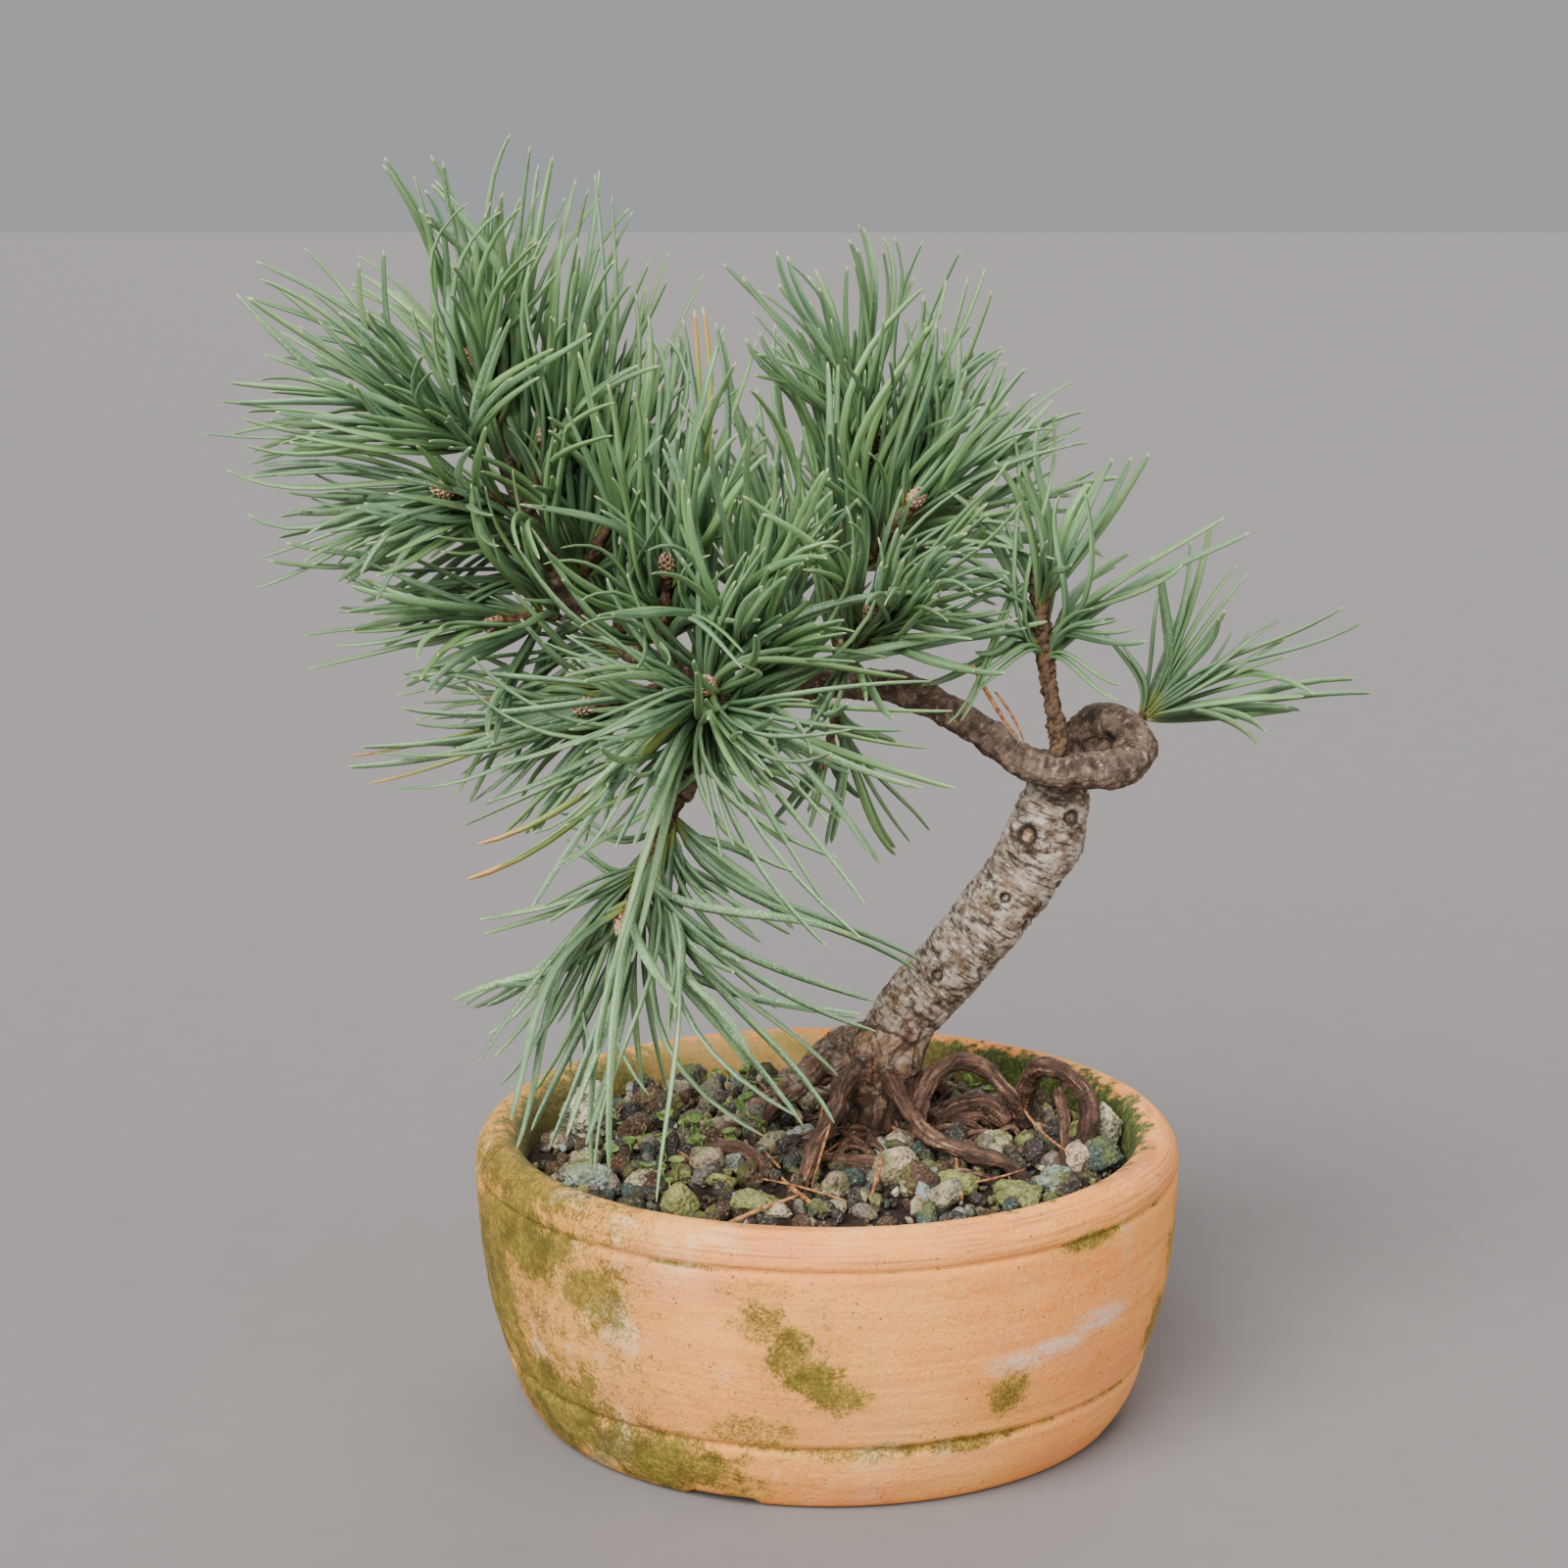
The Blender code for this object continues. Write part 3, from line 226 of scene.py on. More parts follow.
# ---- shoots: stem (x, y, z, radius), and the points that its needles reach ----
SHOOTS = {
    "shoot_apex": (
        [(-60.8, 3.8, 182, 1.5), (-62.6, 3, 188, 1.7), (-64.6, 2, 196, 1.7)],
        [(-80, 0, 234), (-74, 8, 232), (-70, -4, 234), (-81, -8, 218), (-56, 4, 238), (-52, 10, 234),
         (-58, -8, 229), (-50, -8, 228), (-52, -18, 223), (-74, 22, 224), (-60, 24, 226),
         (-88, 14, 212), (-66, -24, 214)]),
    "shoot_apex_left": (
        [(-63.6, -1.2, 180, 1.4), (-66, -4, 184.4, 1.6), (-70, -6, 188, 1.6)],
        [(-104, -4, 214), (-99, 5, 215), (-107, 2, 208), (-103, -10, 211), (-93, -16, 205),
         (-104, -8, 193), (-114, 0, 188), (-108, 7, 181), (-94, -18, 187), (-96, 14, 200),
         (-70, -28, 200), (-84, -26, 196)]),
    "shoot_left": (
        [(-59, -1.4, 170.6, 1.4), (-62, -5, 173, 1.6), (-68, -9, 175, 1.6)],
        [(-109, -6, 175), (-107, 5, 178), (-102, 2, 166), (-101, -12, 164), (-93, -16, 168),
         (-83, -20, 174), (-79, -24, 170), (-89, -8, 158), (-98, 12, 170), (-86, 16, 164),
         (-72, -32, 184)]),
    "shoot_left_low": (
        [(-50, 3, 150.6, 1.4), (-54, 0, 151, 1.6), (-60, -4, 150.4, 1.6)],
        [(-97, 0, 144), (-90, -7, 148), (-76, 8, 153), (-92, 10, 152), (-86, -16, 154),
         (-80, 18, 146), (-70, -26, 150), (-78, 4, 138), (-88, -6, 161)]),
    "shoot_apex_right": (
        [(-52, 3.6, 170, 1.4), (-52.6, 1, 176, 1.6), (-51.6, -1, 183, 1.6)],
        [(-43, 6, 232), (-41, -1, 231), (-37, -5, 227), (-46, -9, 223), (-40, 13, 226), (-49, -14, 215),
         (-45, -16, 204), (-42, 16, 209), (-58, 18, 212), (-48, 24, 206), (-36, -14, 214)]),
    "shoot_centre_left": (
        [(-46, 3.4, 157, 1.4), (-43.6, 0, 162, 1.6), (-40, -1, 168, 1.6)],
        [(-36, 5, 214), (-32, 12, 215), (-33, -3, 209), (-24, 18, 214), (-28, 10, 200), (-34, 4, 201),
         (-48, -18, 188), (-18, 9, 194), (-30, 26, 192), (-42, 28, 196), (-22, 22, 184),
         (-52, -20, 176)]),
    "shoot_long_bud": (
        [(-30, -3.4, 145.6, 1.4), (-30, -7, 150, 1.6), (-29.6, -10, 160, 1.7)],
        [(-44, -14, 205), (-37, -20, 195), (-42, -25, 191), (-30, -6, 194), (-24, -3, 208),
         (-22, -12, 206), (-16, -6, 204), (-17, -15, 192), (-36, -30, 182), (-24, -28, 184),
         (-50, -24, 166), (-12, -18, 182)]),
    "shoot_small_bud": (
        [(-14, -6.4, 139.8, 1.4), (-16, -11, 146, 1.5), (-18, -17, 153.4, 1.6)],
        [(-44, -32, 158), (-25, -34, 178), (-1, -36, 182), (-8, -30, 184), (-10, -46, 164),
         (-32, -42, 168), (4, -26, 176), (-18, -40, 190), (-2, -44, 168), (-30, -20, 186)]),
    "shoot_front": (
        [(-21.4, -10.4, 134.8, 1.5), (-22, -17, 138, 1.7), (-22, -25, 142, 1.8)],
        [(34, -20, 153), (17, -25, 160), (17, -31, 140), (13, -20, 146), (21, -26, 134),
         (20, -34, 125), (-2, -26, 172), (-46, -31, 153), (-64, -22, 145), (-77, -12, 140),
         (-63, -34, 115), (-62, -26, 124), (-66, -18, 108), (-50, -42, 116), (-53, -36, 104),
         (-36, -50, 118), (-37, -44, 98), (-4, -48, 120), (8, -36, 113), (4, -44, 106),
         (2, -52, 102), (-18, -44, 116), (-22, -62, 148), (-44, -52, 138), (2, -56, 138)]),
    "shoot_low": (
        [(-31, -1.2, 138, 1.4), (-36, -5, 136.6, 1.6), (-43, -9, 136, 1.6)],
        [(-88, -10, 126), (-88, -3, 121), (-76, 5, 133), (-70, -6, 130), (-70, 10, 127),
         (-61, -17, 130), (-67, 0, 117), (-78, -14, 138), (-62, 14, 122), (-56, -4, 112),
         (-80, 16, 140)]),
    "shoot_hanging": (
        [(-26.6, -13.4, 120.2, 1.6), (-29.3, -19, 116, 1.7), (-32, -24, 112, 1.7), (-34.4, -29, 106, 1.7),
         (-36, -32, 102, 1.7)],
        [(-62, -34, 101), (-50, -42, 104), (-49, -12, 110), (-60, -36, 90), (-64, -30, 84),
         (-60, -44, 81), (-58, -50, 77), (-58, -36, 71), (-56, -54, 68), (-50, -48, 64),
         (-40, -52, 61), (-36, -58, 58), (-33, -24, 66), (-46, -30, 70), (-8, -47, 68), (-2, -38, 64),
         (0, -24, 66), (9, -30, 82), (17, -17, 89), (-15, -22, 94), (-16, -40, 94), (-27, -52, 92),
         (-13, -12, 107), (-24, -10, 82), (5, -32, 98), (-50, -2, 112)]),
    "shoot_under": (
        [(1.6, -0.6, 134.4, 1.1), (1, -2, 131, 1.2), (0, -4, 127, 1.1)],
        [(0, -6, 109), (-4, -10, 113), (-9, 2, 112), (6, 4, 116), (12, -6, 128)]),
    "shoot_centre_tall": (
        [(2.4, 9, 166.8, 1.4), (4, 9, 172, 1.6), (8, 9, 181, 1.7)],
        [(-18, 4, 215), (-12, 11, 210), (-9, -3, 219), (-3, 16, 213), (0, -9, 213), (4, 1, 220),
         (8, 12, 221), (8, -6, 218), (13, -14, 206), (6, -22, 200), (16, 26, 212), (-10, 28, 200),
         (24, 22, 204), (-14, -8, 199)]),
    "shoot_right_tall": (
        [(6.2, 3.4, 160, 1.4), (10, 0, 165, 1.6), (15, -3, 172, 1.6)],
        [(21, 1, 219), (25, -7, 215), (27, 6, 212), (18, -13, 205), (19, -4, 210), (32, 4, 200),
         (36, -7, 196), (35, -14, 193), (47, 8, 190), (48, -1, 186), (42, -10, 186), (15, 10, 208),
         (30, 18, 198), (0, -20, 188)]),
    "shoot_right_front": (
        [(4.4, -3.6, 143.6, 1.4), (6, -9, 147, 1.6), (7, -15, 153, 1.6)],
        [(13, -30, 178), (29, -27, 178), (12, -36, 170), (0, -30, 188), (24, -34, 168), (26, -22, 152),
         (38, -16, 152), (22, -40, 158), (-14, -34, 176), (8, -46, 160), (28, -34, 146)]),
    "shoot_behind": (
        [(5.6, 11.4, 158.4, 1.4), (10, 15, 161, 1.5), (16, 20, 164, 1.5)],
        [(50, 20, 171), (54, 25, 175), (44, 34, 180), (30, 42, 192), (10, 46, 190), (38, 40, 160),
         (22, 48, 172), (52, 14, 160), (-4, 44, 178)]),
    "shoot_back_centre": (
        [(-6, 5.4, 141, 1.4), (-8, 11, 145, 1.6), (-10, 19, 151, 1.6)],
        [(-12, 40, 192), (-28, 44, 184), (4, 38, 188), (-34, 42, 166), (-12, 58, 172), (12, 46, 166),
         (-22, 54, 154), (-2, 56, 150), (-40, 34, 182), (-20, 30, 200), (-8, 50, 136)]),
    "shoot_back_left": (
        [(-38, 10, 146.6, 1.4), (-41, 16, 150, 1.6), (-46, 23, 155, 1.6)],
        [(-58, 40, 196), (-72, 36, 184), (-44, 46, 194), (-84, 34, 168), (-62, 56, 174), (-80, 42, 152),
         (-44, 60, 166), (-60, 54, 146), (-34, 50, 180), (-90, 22, 178), (-66, 24, 200)]),
    "shoot_upright": (
        [(42.2, -9.4, 126.6, 1.8), (41.7, -9.2, 131.7, 1.7), (40.6, -9, 137, 1.6), (39.3, -9, 144.5, 1.4),
         (38.8, -9, 150.4, 1.5), (37.9, -9, 157, 1.6), (37.7, -9, 161, 1.6)],
        [(35, -10, 189), (38, 2, 186), (31, -18, 181), (43, -12, 176), (47, -4, 176), (51, -8, 181),
         (55, -14, 183), (75, -9, 169), (62, -14, 164), (17, -12, 165), (22, -18, 163), (27, -2, 168),
         (20, -4, 176), (8, -14, 158), (20, -22, 157), (48, -20, 155), (52, 2, 150), (55, -10, 151),
         (57, -16, 149), (52, -20, 140), (23, -12, 145), (26, -20, 142), (17, -6, 139), (22, -14, 133),
         (40, 18, 176), (30, 20, 166), (56, 14, 160), (40, -38, 168), (34, 18, 148)]),
    "shoot_right_tuft": (
        [(57.4, 2.4, 130.6, 1.4), (60.4, 4.6, 132.6, 1.5), (62.6, 5, 134, 1.5)],
        [(61, 0, 160), (68, 4, 168), (66, 12, 157), (77, 5, 159), (72, -4, 152), (52, 4, 148),
         (98, 0, 151), (86, 6, 147), (85, -6, 142), (101, 5, 138), (88, -2, 135), (88, 8, 132),
         (80, 22, 146), (66, 26, 146), (78, -16, 130)]),
}
FILL_PAIRS = {"shoot_front": 26, "shoot_hanging": 14, "shoot_upright": 1, "shoot_right_tuft": 1,
              "shoot_under": 2, "shoot_behind": 12, "shoot_low": 14, "shoot_left_low": 12}
FILL_USUAL = 18
FILL_SCATTER = (2, 14)
FILL_REACH = (0.68, 0.96)       # of the way to the goal
OLD_WOOD = {"shoot_apex": APEX_BRANCH[6:], "shoot_left": APEX_BRANCH[5:8],
            "shoot_left_low": APEX_BRANCH[3:7], "shoot_long_bud": APEX_BRANCH[1:4],
            "shoot_small_bud": MAIN_BRANCH[16:19],
            "shoot_front": MAIN_BRANCH[17:20], "shoot_centre_tall": CENTRE_BRANCH[1:],
            "shoot_low": APEX_BRANCH[2:6], "shoot_apex_right": APEX_BRANCH[5:8]}
SKIRT_PAIRS = 7
SKIRT_LENGTHS = (28, 40)
NO_SKIRT = {"shoot_upright", "shoot_right_tuft", "shoot_under", "shoot_hanging"}
YELLOW_TIPS = {(-24, -3, 208), (-88, -3, 121), (-66, -18, 108)}
OLD_WOOD_SHARE = 0.42           # of the added needles that spring from the branch itself
LONGEST_NEEDLE = 58.0
SHORTEST_NEEDLE = 30.0
BARE_SHARE = {"shoot_upright": 0.45, "shoot_hanging": 0.2}      # of a stem's length, without needles
YELLOW_SHARE = 0.002
YELLOWED = 1.4
ARCH = 0.13                   # how far needles arch sideways, per length
S_BEND_SHARE = 0.3
FROST = {"shoot_hanging": 0.75, "shoot_front": 0.5, "shoot_left": 0.5, "shoot_low": 0.45}
FROST_USUAL = 0.22
NEEDLE_WIDTH = 1.68
NEEDLE_SIDES = 6
NEEDLE_STEPS = 12
NEEDLE_BACK = 0.78              # thickness of its round side and its flat side, per half width
NEEDLE_BELLY = 0.32
ROUNDED_FROM = 0.93             # share along at which a needle's tip begins
NATURAL_LEAN = 0.65             # cosine between a needle and its stem
PAIR_SPREAD = 0.095            # how far the two of a pair part, per length
BUD_LENGTH = 4.6
STEM_THINNING = 0.62
STOUT_STEM = "shoot_upright"
SCALE_DENSITY = 0.8             # bark scales per millimetre
BUD_WIDTH = 1.15               # of the stem's radius
LOWEST_OVER_BOWL = 55.4
BOWL_REACH = 69.0
STEM_SIDES = 16
BUD_ROWS = 7
BUD_SCALES = 6                  # in a row
SCALE_FACES = [(0, 2, 3), (0, 3, 1), (1, 3, 4), (2, 5, 3), (3, 5, 4), (0, 6, 7), (0, 7, 2),
               (1, 4, 7), (1, 7, 6), (2, 7, 5), (4, 5, 7), (0, 1, 6)]
BUD_CORE_RINGS = 8
BUD_CORE_SIDES = 10


# ------------------------------------------------------------------ helpers
def place(x, y, z):
    """A table point in the frame's metres."""
    return AXIS + Vector((x, y, z)) * MM


def srgb(red, green, blue):
    """A 0-255 display colour as linear light."""
    return tuple(((value / 255 + 0.055) / 1.055) ** 2.4 if value > 10 else value / 255 / 12.92
                 for value in (red, green, blue))


def smoothstep(low, high, value):
    share = min(1.0, max(0.0, (value - low) / (high - low)))
    return share * share * (3 - 2 * share)


def new_piece(name, points, faces, surface, stands_for=(), attributes=None):
    """A smooth mesh from points in millimetres, riding on the root."""
    mesh = bpy.data.meshes.new(name)
    mesh.from_pydata([tuple(c * MM for c in p) for p in points], [], faces)
    mesh.update()
    for polygon in mesh.polygons:
        polygon.use_smooth = True
    for key, (kind, values) in (attributes or {}).items():
        layer = mesh.attributes.new(key, kind, "POINT")
        field = "color" if kind == "FLOAT_COLOR" else "vector"
        layer.data.foreach_set(field, np.asarray(values, np.float32).ravel())
    mesh.materials.append(surface)
    piece = bpy.data.objects.new(name, mesh)
    piece.location = AXIS
    bpy.context.collection.objects.link(piece)
    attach(piece, "root")
    if stands_for:
        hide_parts(*stands_for)


def smooth_path(rows, step):
    """Resample rows of (x, y, z, radius) along a Catmull-Rom curve."""
    points = np.array(rows, float)
    padded = np.vstack([2 * points[0] - points[1], points, 2 * points[-1] - points[-2]])
    path = []
    for index in range(1, len(padded) - 2):
        before, start, end, after = padded[index - 1:index + 3]
        parts = max(1, round(np.linalg.norm((end - start)[:3]) / step))
        for part in range(parts):
            t = part / parts
            path.append(0.5 * (2 * start + (end - before) * t
                               + (2 * before - 5 * start + 4 * end - after) * t ** 2
                               + (3 * start - before - 3 * end + after) * t ** 3))
    path.append(padded[-2])
    return np.array(path)


def ring_frames(path):
    """Centre, side, up and tangent for each point of a path, turning as little as possible."""
    centres = [Vector(row[:3]) for row in path]
    frames = []
    side = None
    for index, centre in enumerate(centres):
        ahead = centres[min(index + 1, len(centres) - 1)]
        behind = centres[max(index - 1, 0)]
        tangent = (ahead - behind).normalized()
        side = tangent.orthogonal() if side is None else side - tangent * side.dot(tangent)
        side = side.normalized()
        frames.append((centre, side, tangent.cross(side), tangent))
    return frames


def turns(sides):
    """The angles of the corners of a ring."""
    return [2 * math.pi * step / sides for step in range(sides)]


def ring_faces(starts, sides, inward=False):
    """Quads that join rings of points, given the index at which each ring starts."""
    faces = []
    for low, high in zip(starts, starts[1:]):
        for step in range(sides):
            after = (step + 1) % sides
            if inward:
                faces.append((low + step, high + step, high + after, low + after))
            else:
                faces.append((low + step, low + after, high + after, high + step))
    return faces


def end_caps(starts, sides):
    """Faces that close the first and last ring."""
    first = range(starts[0], starts[0] + sides)
    return [tuple(reversed(first)), tuple(range(starts[-1], starts[-1] + sides))]


def join(points, faces, more_points, more_faces):
    """Add a mesh to the points and faces collected so far."""
    base = len(points)
    points.extend(more_points)
    faces.extend([tuple(base + corner for corner in face) for face in more_faces])


def tube_mesh(path, sides):
    """Points and faces of a closed tube."""
    points = []
    for (centre, side, up, _), row in zip(ring_frames(path), path):
        for angle in turns(sides):
            points.append(centre + (side * math.cos(angle) + up * math.sin(angle)) * row[3])
    starts = range(0, len(points), sides)
    return points, ring_faces(starts, sides) + end_caps(starts, sides)


def point_tree(points):
    """A tree that finds the nearest of some points."""
    tree = kdtree.KDTree(len(points))
    for index, point in enumerate(points):
        tree.insert(point, index)
    tree.balance()
    return tree


def random_unit():
    return Vector([random.gauss(0, 1) for _ in range(3)]).normalized()


def random_on_disc(reach):
    radius = reach * math.sqrt(random.random())
    angle = random.uniform(0, 2 * math.pi)
    return radius * math.cos(angle), radius * math.sin(angle)


# ------------------------------------------------------------------ materials
class Shader:
    """A Principled material and short ways to add nodes to it."""

    def __init__(self, name, roughness, specular=0.5):
        self.material = bpy.data.materials.new(name)
        self.material.use_nodes = True
        self.tree = self.material.node_tree
        self.main = self.tree.nodes["Principled BSDF"]
        self.main.inputs["Roughness"].default_value = roughness
        self.main.inputs["Specular IOR Level"].default_value = specular
        self.place = self.add("ShaderNodeTexCoord").outputs["Object"]

    def add(self, kind, **settings):
        node = self.tree.nodes.new(kind)
        for key, value in settings.items():
            setattr(node, key, value)
        return node

    def give(self, socket, value):
        """Link a socket to another one, or set it; a colour is given as 0-255 display values."""
        if isinstance(value, bpy.types.NodeSocket):
            self.tree.links.new(value, socket)
        elif isinstance(value, (tuple, list)) and len(value) == 3 and socket.type == "RGBA":
            socket.default_value = (*srgb(*value), 1.0)
        else:
            socket.default_value = value

    def noise(self, size, detail=3.0, roughness=0.55, vector=None):
        """Noise whose features are about size metres across."""
        node = self.add("ShaderNodeTexNoise")
        self.give(node.inputs["Vector"], vector or self.place)
        node.inputs["Scale"].default_value = 1.0 / size
        node.inputs["Detail"].default_value = detail
        node.inputs["Roughness"].default_value = roughness
        return node.outputs["Fac"]

    def cells(self, size):
        """Distance to the nearest of scattered points, about size metres apart."""
        node = self.add("ShaderNodeTexVoronoi")
        self.give(node.inputs["Vector"], self.place)
        node.inputs["Scale"].default_value = 1.0 / size
        return node.outputs["Distance"]

    def stretched(self, x, y, z, vector=None):
        """Coordinates scaled on each axis."""
        node = self.add("ShaderNodeMapping")
        self.give(node.inputs["Vector"], vector or self.place)
        node.inputs["Scale"].default_value = (x, y, z)
        return node.outputs["Vector"]

    def split(self, vector=None):
        node = self.add("ShaderNodeSeparateXYZ")
        self.give(node.inputs["Vector"], vector or self.place)
        return node.outputs["X"], node.outputs["Y"], node.outputs["Z"]

    def math(self, operation, first, second=0.0):
        node = self.add("ShaderNodeMath", operation=operation)
        self.give(node.inputs[0], first)
        self.give(node.inputs[1], second)
        return node.outputs["Value"]

    def times(self, first, second):
        return self.math("MULTIPLY", first, second)

    def plus(self, first, second):
        return self.math("ADD", first, second)

    def most(self, first, second):
        return self.math("MAXIMUM", first, second)

    def between(self, value, low, high, to_low=0.0, to_high=1.0):
        """Smoothly maps low..high to to_low..to_high."""
        node = self.add("ShaderNodeMapRange", interpolation_type="SMOOTHSTEP")
        self.give(node.inputs["Value"], value)
        for key, number in (("From Min", low), ("From Max", high), ("To Min", to_low), ("To Max", to_high)):
            node.inputs[key].default_value = number
        return node.outputs["Result"]

    def mix(self, share, first, second):
        """Two colours blended; share is how much of the second."""
        node = self.add("ShaderNodeMix", data_type="RGBA")
        self.give(node.inputs["Factor"], share)
        colours = [socket for socket in node.inputs if socket.type == "RGBA"]
        self.give(colours[0], first)
        self.give(colours[1], second)
        return [socket for socket in node.outputs if socket.type == "RGBA"][0]

    def coats(self, base, *rows):
        """Lay colours over a base, each row being (mask, low, high, strength, colour)."""
        for mask, low, high, strength, colour in rows:
            base = self.mix(self.between(mask, low, high, 0.0, strength), base, colour)
        return base

    def attribute(self, name):
        return self.add("ShaderNodeAttribute", attribute_name=name)

    def channels(self, name):
        """The three numbers of a colour attribute."""
        node = self.add("ShaderNodeSeparateColor")
        self.give(node.inputs["Color"], self.attribute(name).outputs["Color"])
        return node.outputs["Red"], node.outputs["Green"], node.outputs["Blue"]

    def bump(self, *layers):
        """Stack bumps: each layer is (height socket, depth in metres)."""
        normal = None
        for height, depth in layers:
            node = self.add("ShaderNodeBump")
            node.inputs["Strength"].default_value = 1.0
            node.inputs["Distance"].default_value = depth
            self.give(node.inputs["Height"], height)
            if normal:
                self.give(node.inputs["Normal"], normal)
            normal = node.outputs["Normal"]
        self.give(self.main.inputs["Normal"], normal)

    def colour(self, socket):
        self.give(self.main.inputs["Base Color"], socket)

    def rough(self, socket):
        self.give(self.main.inputs["Roughness"], socket)


def terracotta():
    """Peach clay outside with algae on it, ochre and damp inside."""
    s = Shader("terracotta_weathered", 0.85, specular=0.25)
    broad = s.noise(0.022, detail=4)
    middle = s.noise(0.006, detail=4)
    fine = s.noise(0.0009, detail=3)
    turned = s.noise(0.0016, detail=3, vector=s.stretched(0.08, 0.08, 1.0))
    grain = s.noise(0.0004, detail=3, roughness=0.7)
    cream = s.between(s.noise(0.016, detail=5, roughness=0.65), 0.55, 0.68, 0.0, 0.5)
    clay, rings = clay_colour(s, broad, middle, fine, turned, grain, cream)
    outside, grains = algae_colour(s, clay, broad, middle, fine, cream)
    inner, _, _ = s.channels("inner")
    ragged = s.times(s.math("SUBTRACT", s.noise(0.0035, detail=5, roughness=0.7), 0.5), 1.6)
    inside = s.between(s.plus(inner, ragged), 0.5, 0.75)
    s.colour(s.mix(inside, outside, inner_wall_colour(s, broad, middle, fine)))
    s.rough(s.between(fine, 0.3, 0.8, 0.78, 0.95))
    s.bump((turned, 0.00018), (middle, 0.0002), (fine, 0.0002), (grain, 0.00014), (rings, 0.00010),
           (grains, 0.00014))
    return s.material


def clay_colour(s, broad, middle, fine, turned, grain, cream):
    """Peach clay with thrown lines, a rosy patch, pale salts and dark specks; also the rim's rings."""
    x, _, z = s.split()
    clay = s.mix(s.between(broad, 0.35, 0.7), (246, 152, 68), (252, 174, 88))
    clay = s.coats(clay,
                   (turned, 0.42, 0.66, 0.3, (214, 124, 62)),
                   (fine, 0.45, 0.75, 0.4, (250, 190, 120)),
                   (grain, 0.52, 0.7, 0.35, (190, 112, 60)))
    rosy = s.between(s.noise(0.03, detail=2, vector=s.stretched(1, 1, 2.5)), 0.5, 0.72, 0.0, 0.55)
    rosy = s.most(rosy, s.times(bowl_patch(s, *ROSY_PATCH, 0.9), 0.6))
    clay = s.mix(rosy, clay, (240, 150, 102))
    clay = s.mix(s.times(cream, s.between(x, 0.03, -0.03, 0.35, 1.0)), clay, (236, 204, 156))
    smear = 0.0
    for centre, size in SALTS:
        smear = s.most(smear, bowl_patch(s, centre, size, 0.28))
    smear = s.times(smear, s.between(s.plus(fine, turned), 0.7, 1.15, 0.15, 0.75))
    bloom = s.between(s.noise(0.012, detail=5, roughness=0.7), 0.62, 0.8, 0.0, 0.35)
    clay = s.mix(s.most(smear, bloom), clay, (232, 204, 180))
    specks = s.times(s.between(s.cells(0.0019), 0.07, 0.17, 0.85, 0.0), s.between(middle, 0.44, 0.56))
    clay = s.mix(specks, clay, (104, 66, 36))
    peppered = s.times(s.between(grain, 0.58, 0.7), s.between(middle, 0.35, 0.65, 0.15, 0.8))
    clay = s.mix(peppered, clay, (132, 84, 44))
    rings = s.noise(0.00045, detail=2, vector=s.stretched(0.02, 0.02, 1.0))
    high = s.between(z, 0.0465, 0.0485)
    clay = s.mix(s.times(s.between(rings, 0.5, 0.68), s.times(high, 0.5)), clay, (158, 98, 58))
    return clay, s.times(high, rings)


def algae_colour(s, clay, broad, middle, fine, cream):
    """Clay under a yellow film and green grains, most on the left and in the grooves; also the grains."""
    x, _, z = s.split()
    ragged = s.math("SUBTRACT", s.noise(0.003, detail=6, roughness=0.75), 0.5)
    algae = s.between(s.plus(x, s.times(broad, 0.05)), 0.026, -0.030, 0.0, 0.62)
    for centre, size, strength in ALGAE:
        algae = s.most(algae, s.times(bowl_patch(s, centre, size, 0.9), strength))
    for height, width in GROOVES:
        off = s.math("ABSOLUTE", s.math("SUBTRACT", z, height))
        algae = s.most(algae, s.times(s.between(off, 0.0002, width, 0.8, 0.0), s.between(broad, 0.42, 0.6)))
    film = s.mix(s.between(cream, 0.1, 0.4), (172, 152, 66), (210, 190, 122))
    stain = s.between(s.plus(algae, s.times(ragged, 0.9)), 0.05, 0.9, 0.0, 0.6)
    grains = s.plus(s.times(algae, 0.62), s.times(ragged, 0.9))
    grains = s.plus(grains, s.times(s.noise(0.0006, detail=5, roughness=0.8), 1.7))
    grains = s.between(grains, 1.16, 1.62)
    green = s.mix(s.between(fine, 0.4, 0.65), (96, 94, 22), (146, 136, 48))
    green = s.mix(s.between(middle, 0.42, 0.62, 0.0, 0.85), green, (66, 68, 18))
    return s.mix(s.times(grains, 0.92), s.mix(stain, clay, film), green), grains


def inner_wall_colour(s, broad, middle, fine):
    """Ochre, and dark green where it stays wet."""
    x, _, _ = s.split()
    wavy = s.plus(x, s.times(broad, 0.03))
    wet = s.most(s.between(wavy, 0.012, 0.050), s.between(wavy, 0.0, -0.030, 0.0, 0.8))
    ochre = s.mix(s.between(middle, 0.4, 0.65), (206, 160, 92), (168, 146, 76))
    return s.mix(wet, ochre, s.mix(s.between(fine, 0.4, 0.7), (62, 72, 34), (112, 118, 60)))


def bowl_patch(s, centre, size, roughness):
    """A soft-edged blob on the bowl, given in millimetres, with a ragged outline."""
    node = s.add("ShaderNodeMapping", vector_type="TEXTURE")
    s.give(node.inputs["Vector"], s.place)
    node.inputs["Location"].default_value = [value * MM for value in centre]
    node.inputs["Scale"].default_value = [value * MM for value in size]
    length = s.add("ShaderNodeVectorMath", operation="LENGTH")
    s.give(length.inputs[0], node.outputs["Vector"])
    ragged = s.times(s.math("SUBTRACT", s.noise(0.0065, detail=6, roughness=0.72), 0.5), roughness * 2)
    return s.between(s.plus(length.outputs["Value"], ragged), *PATCH_SOFTNESS)


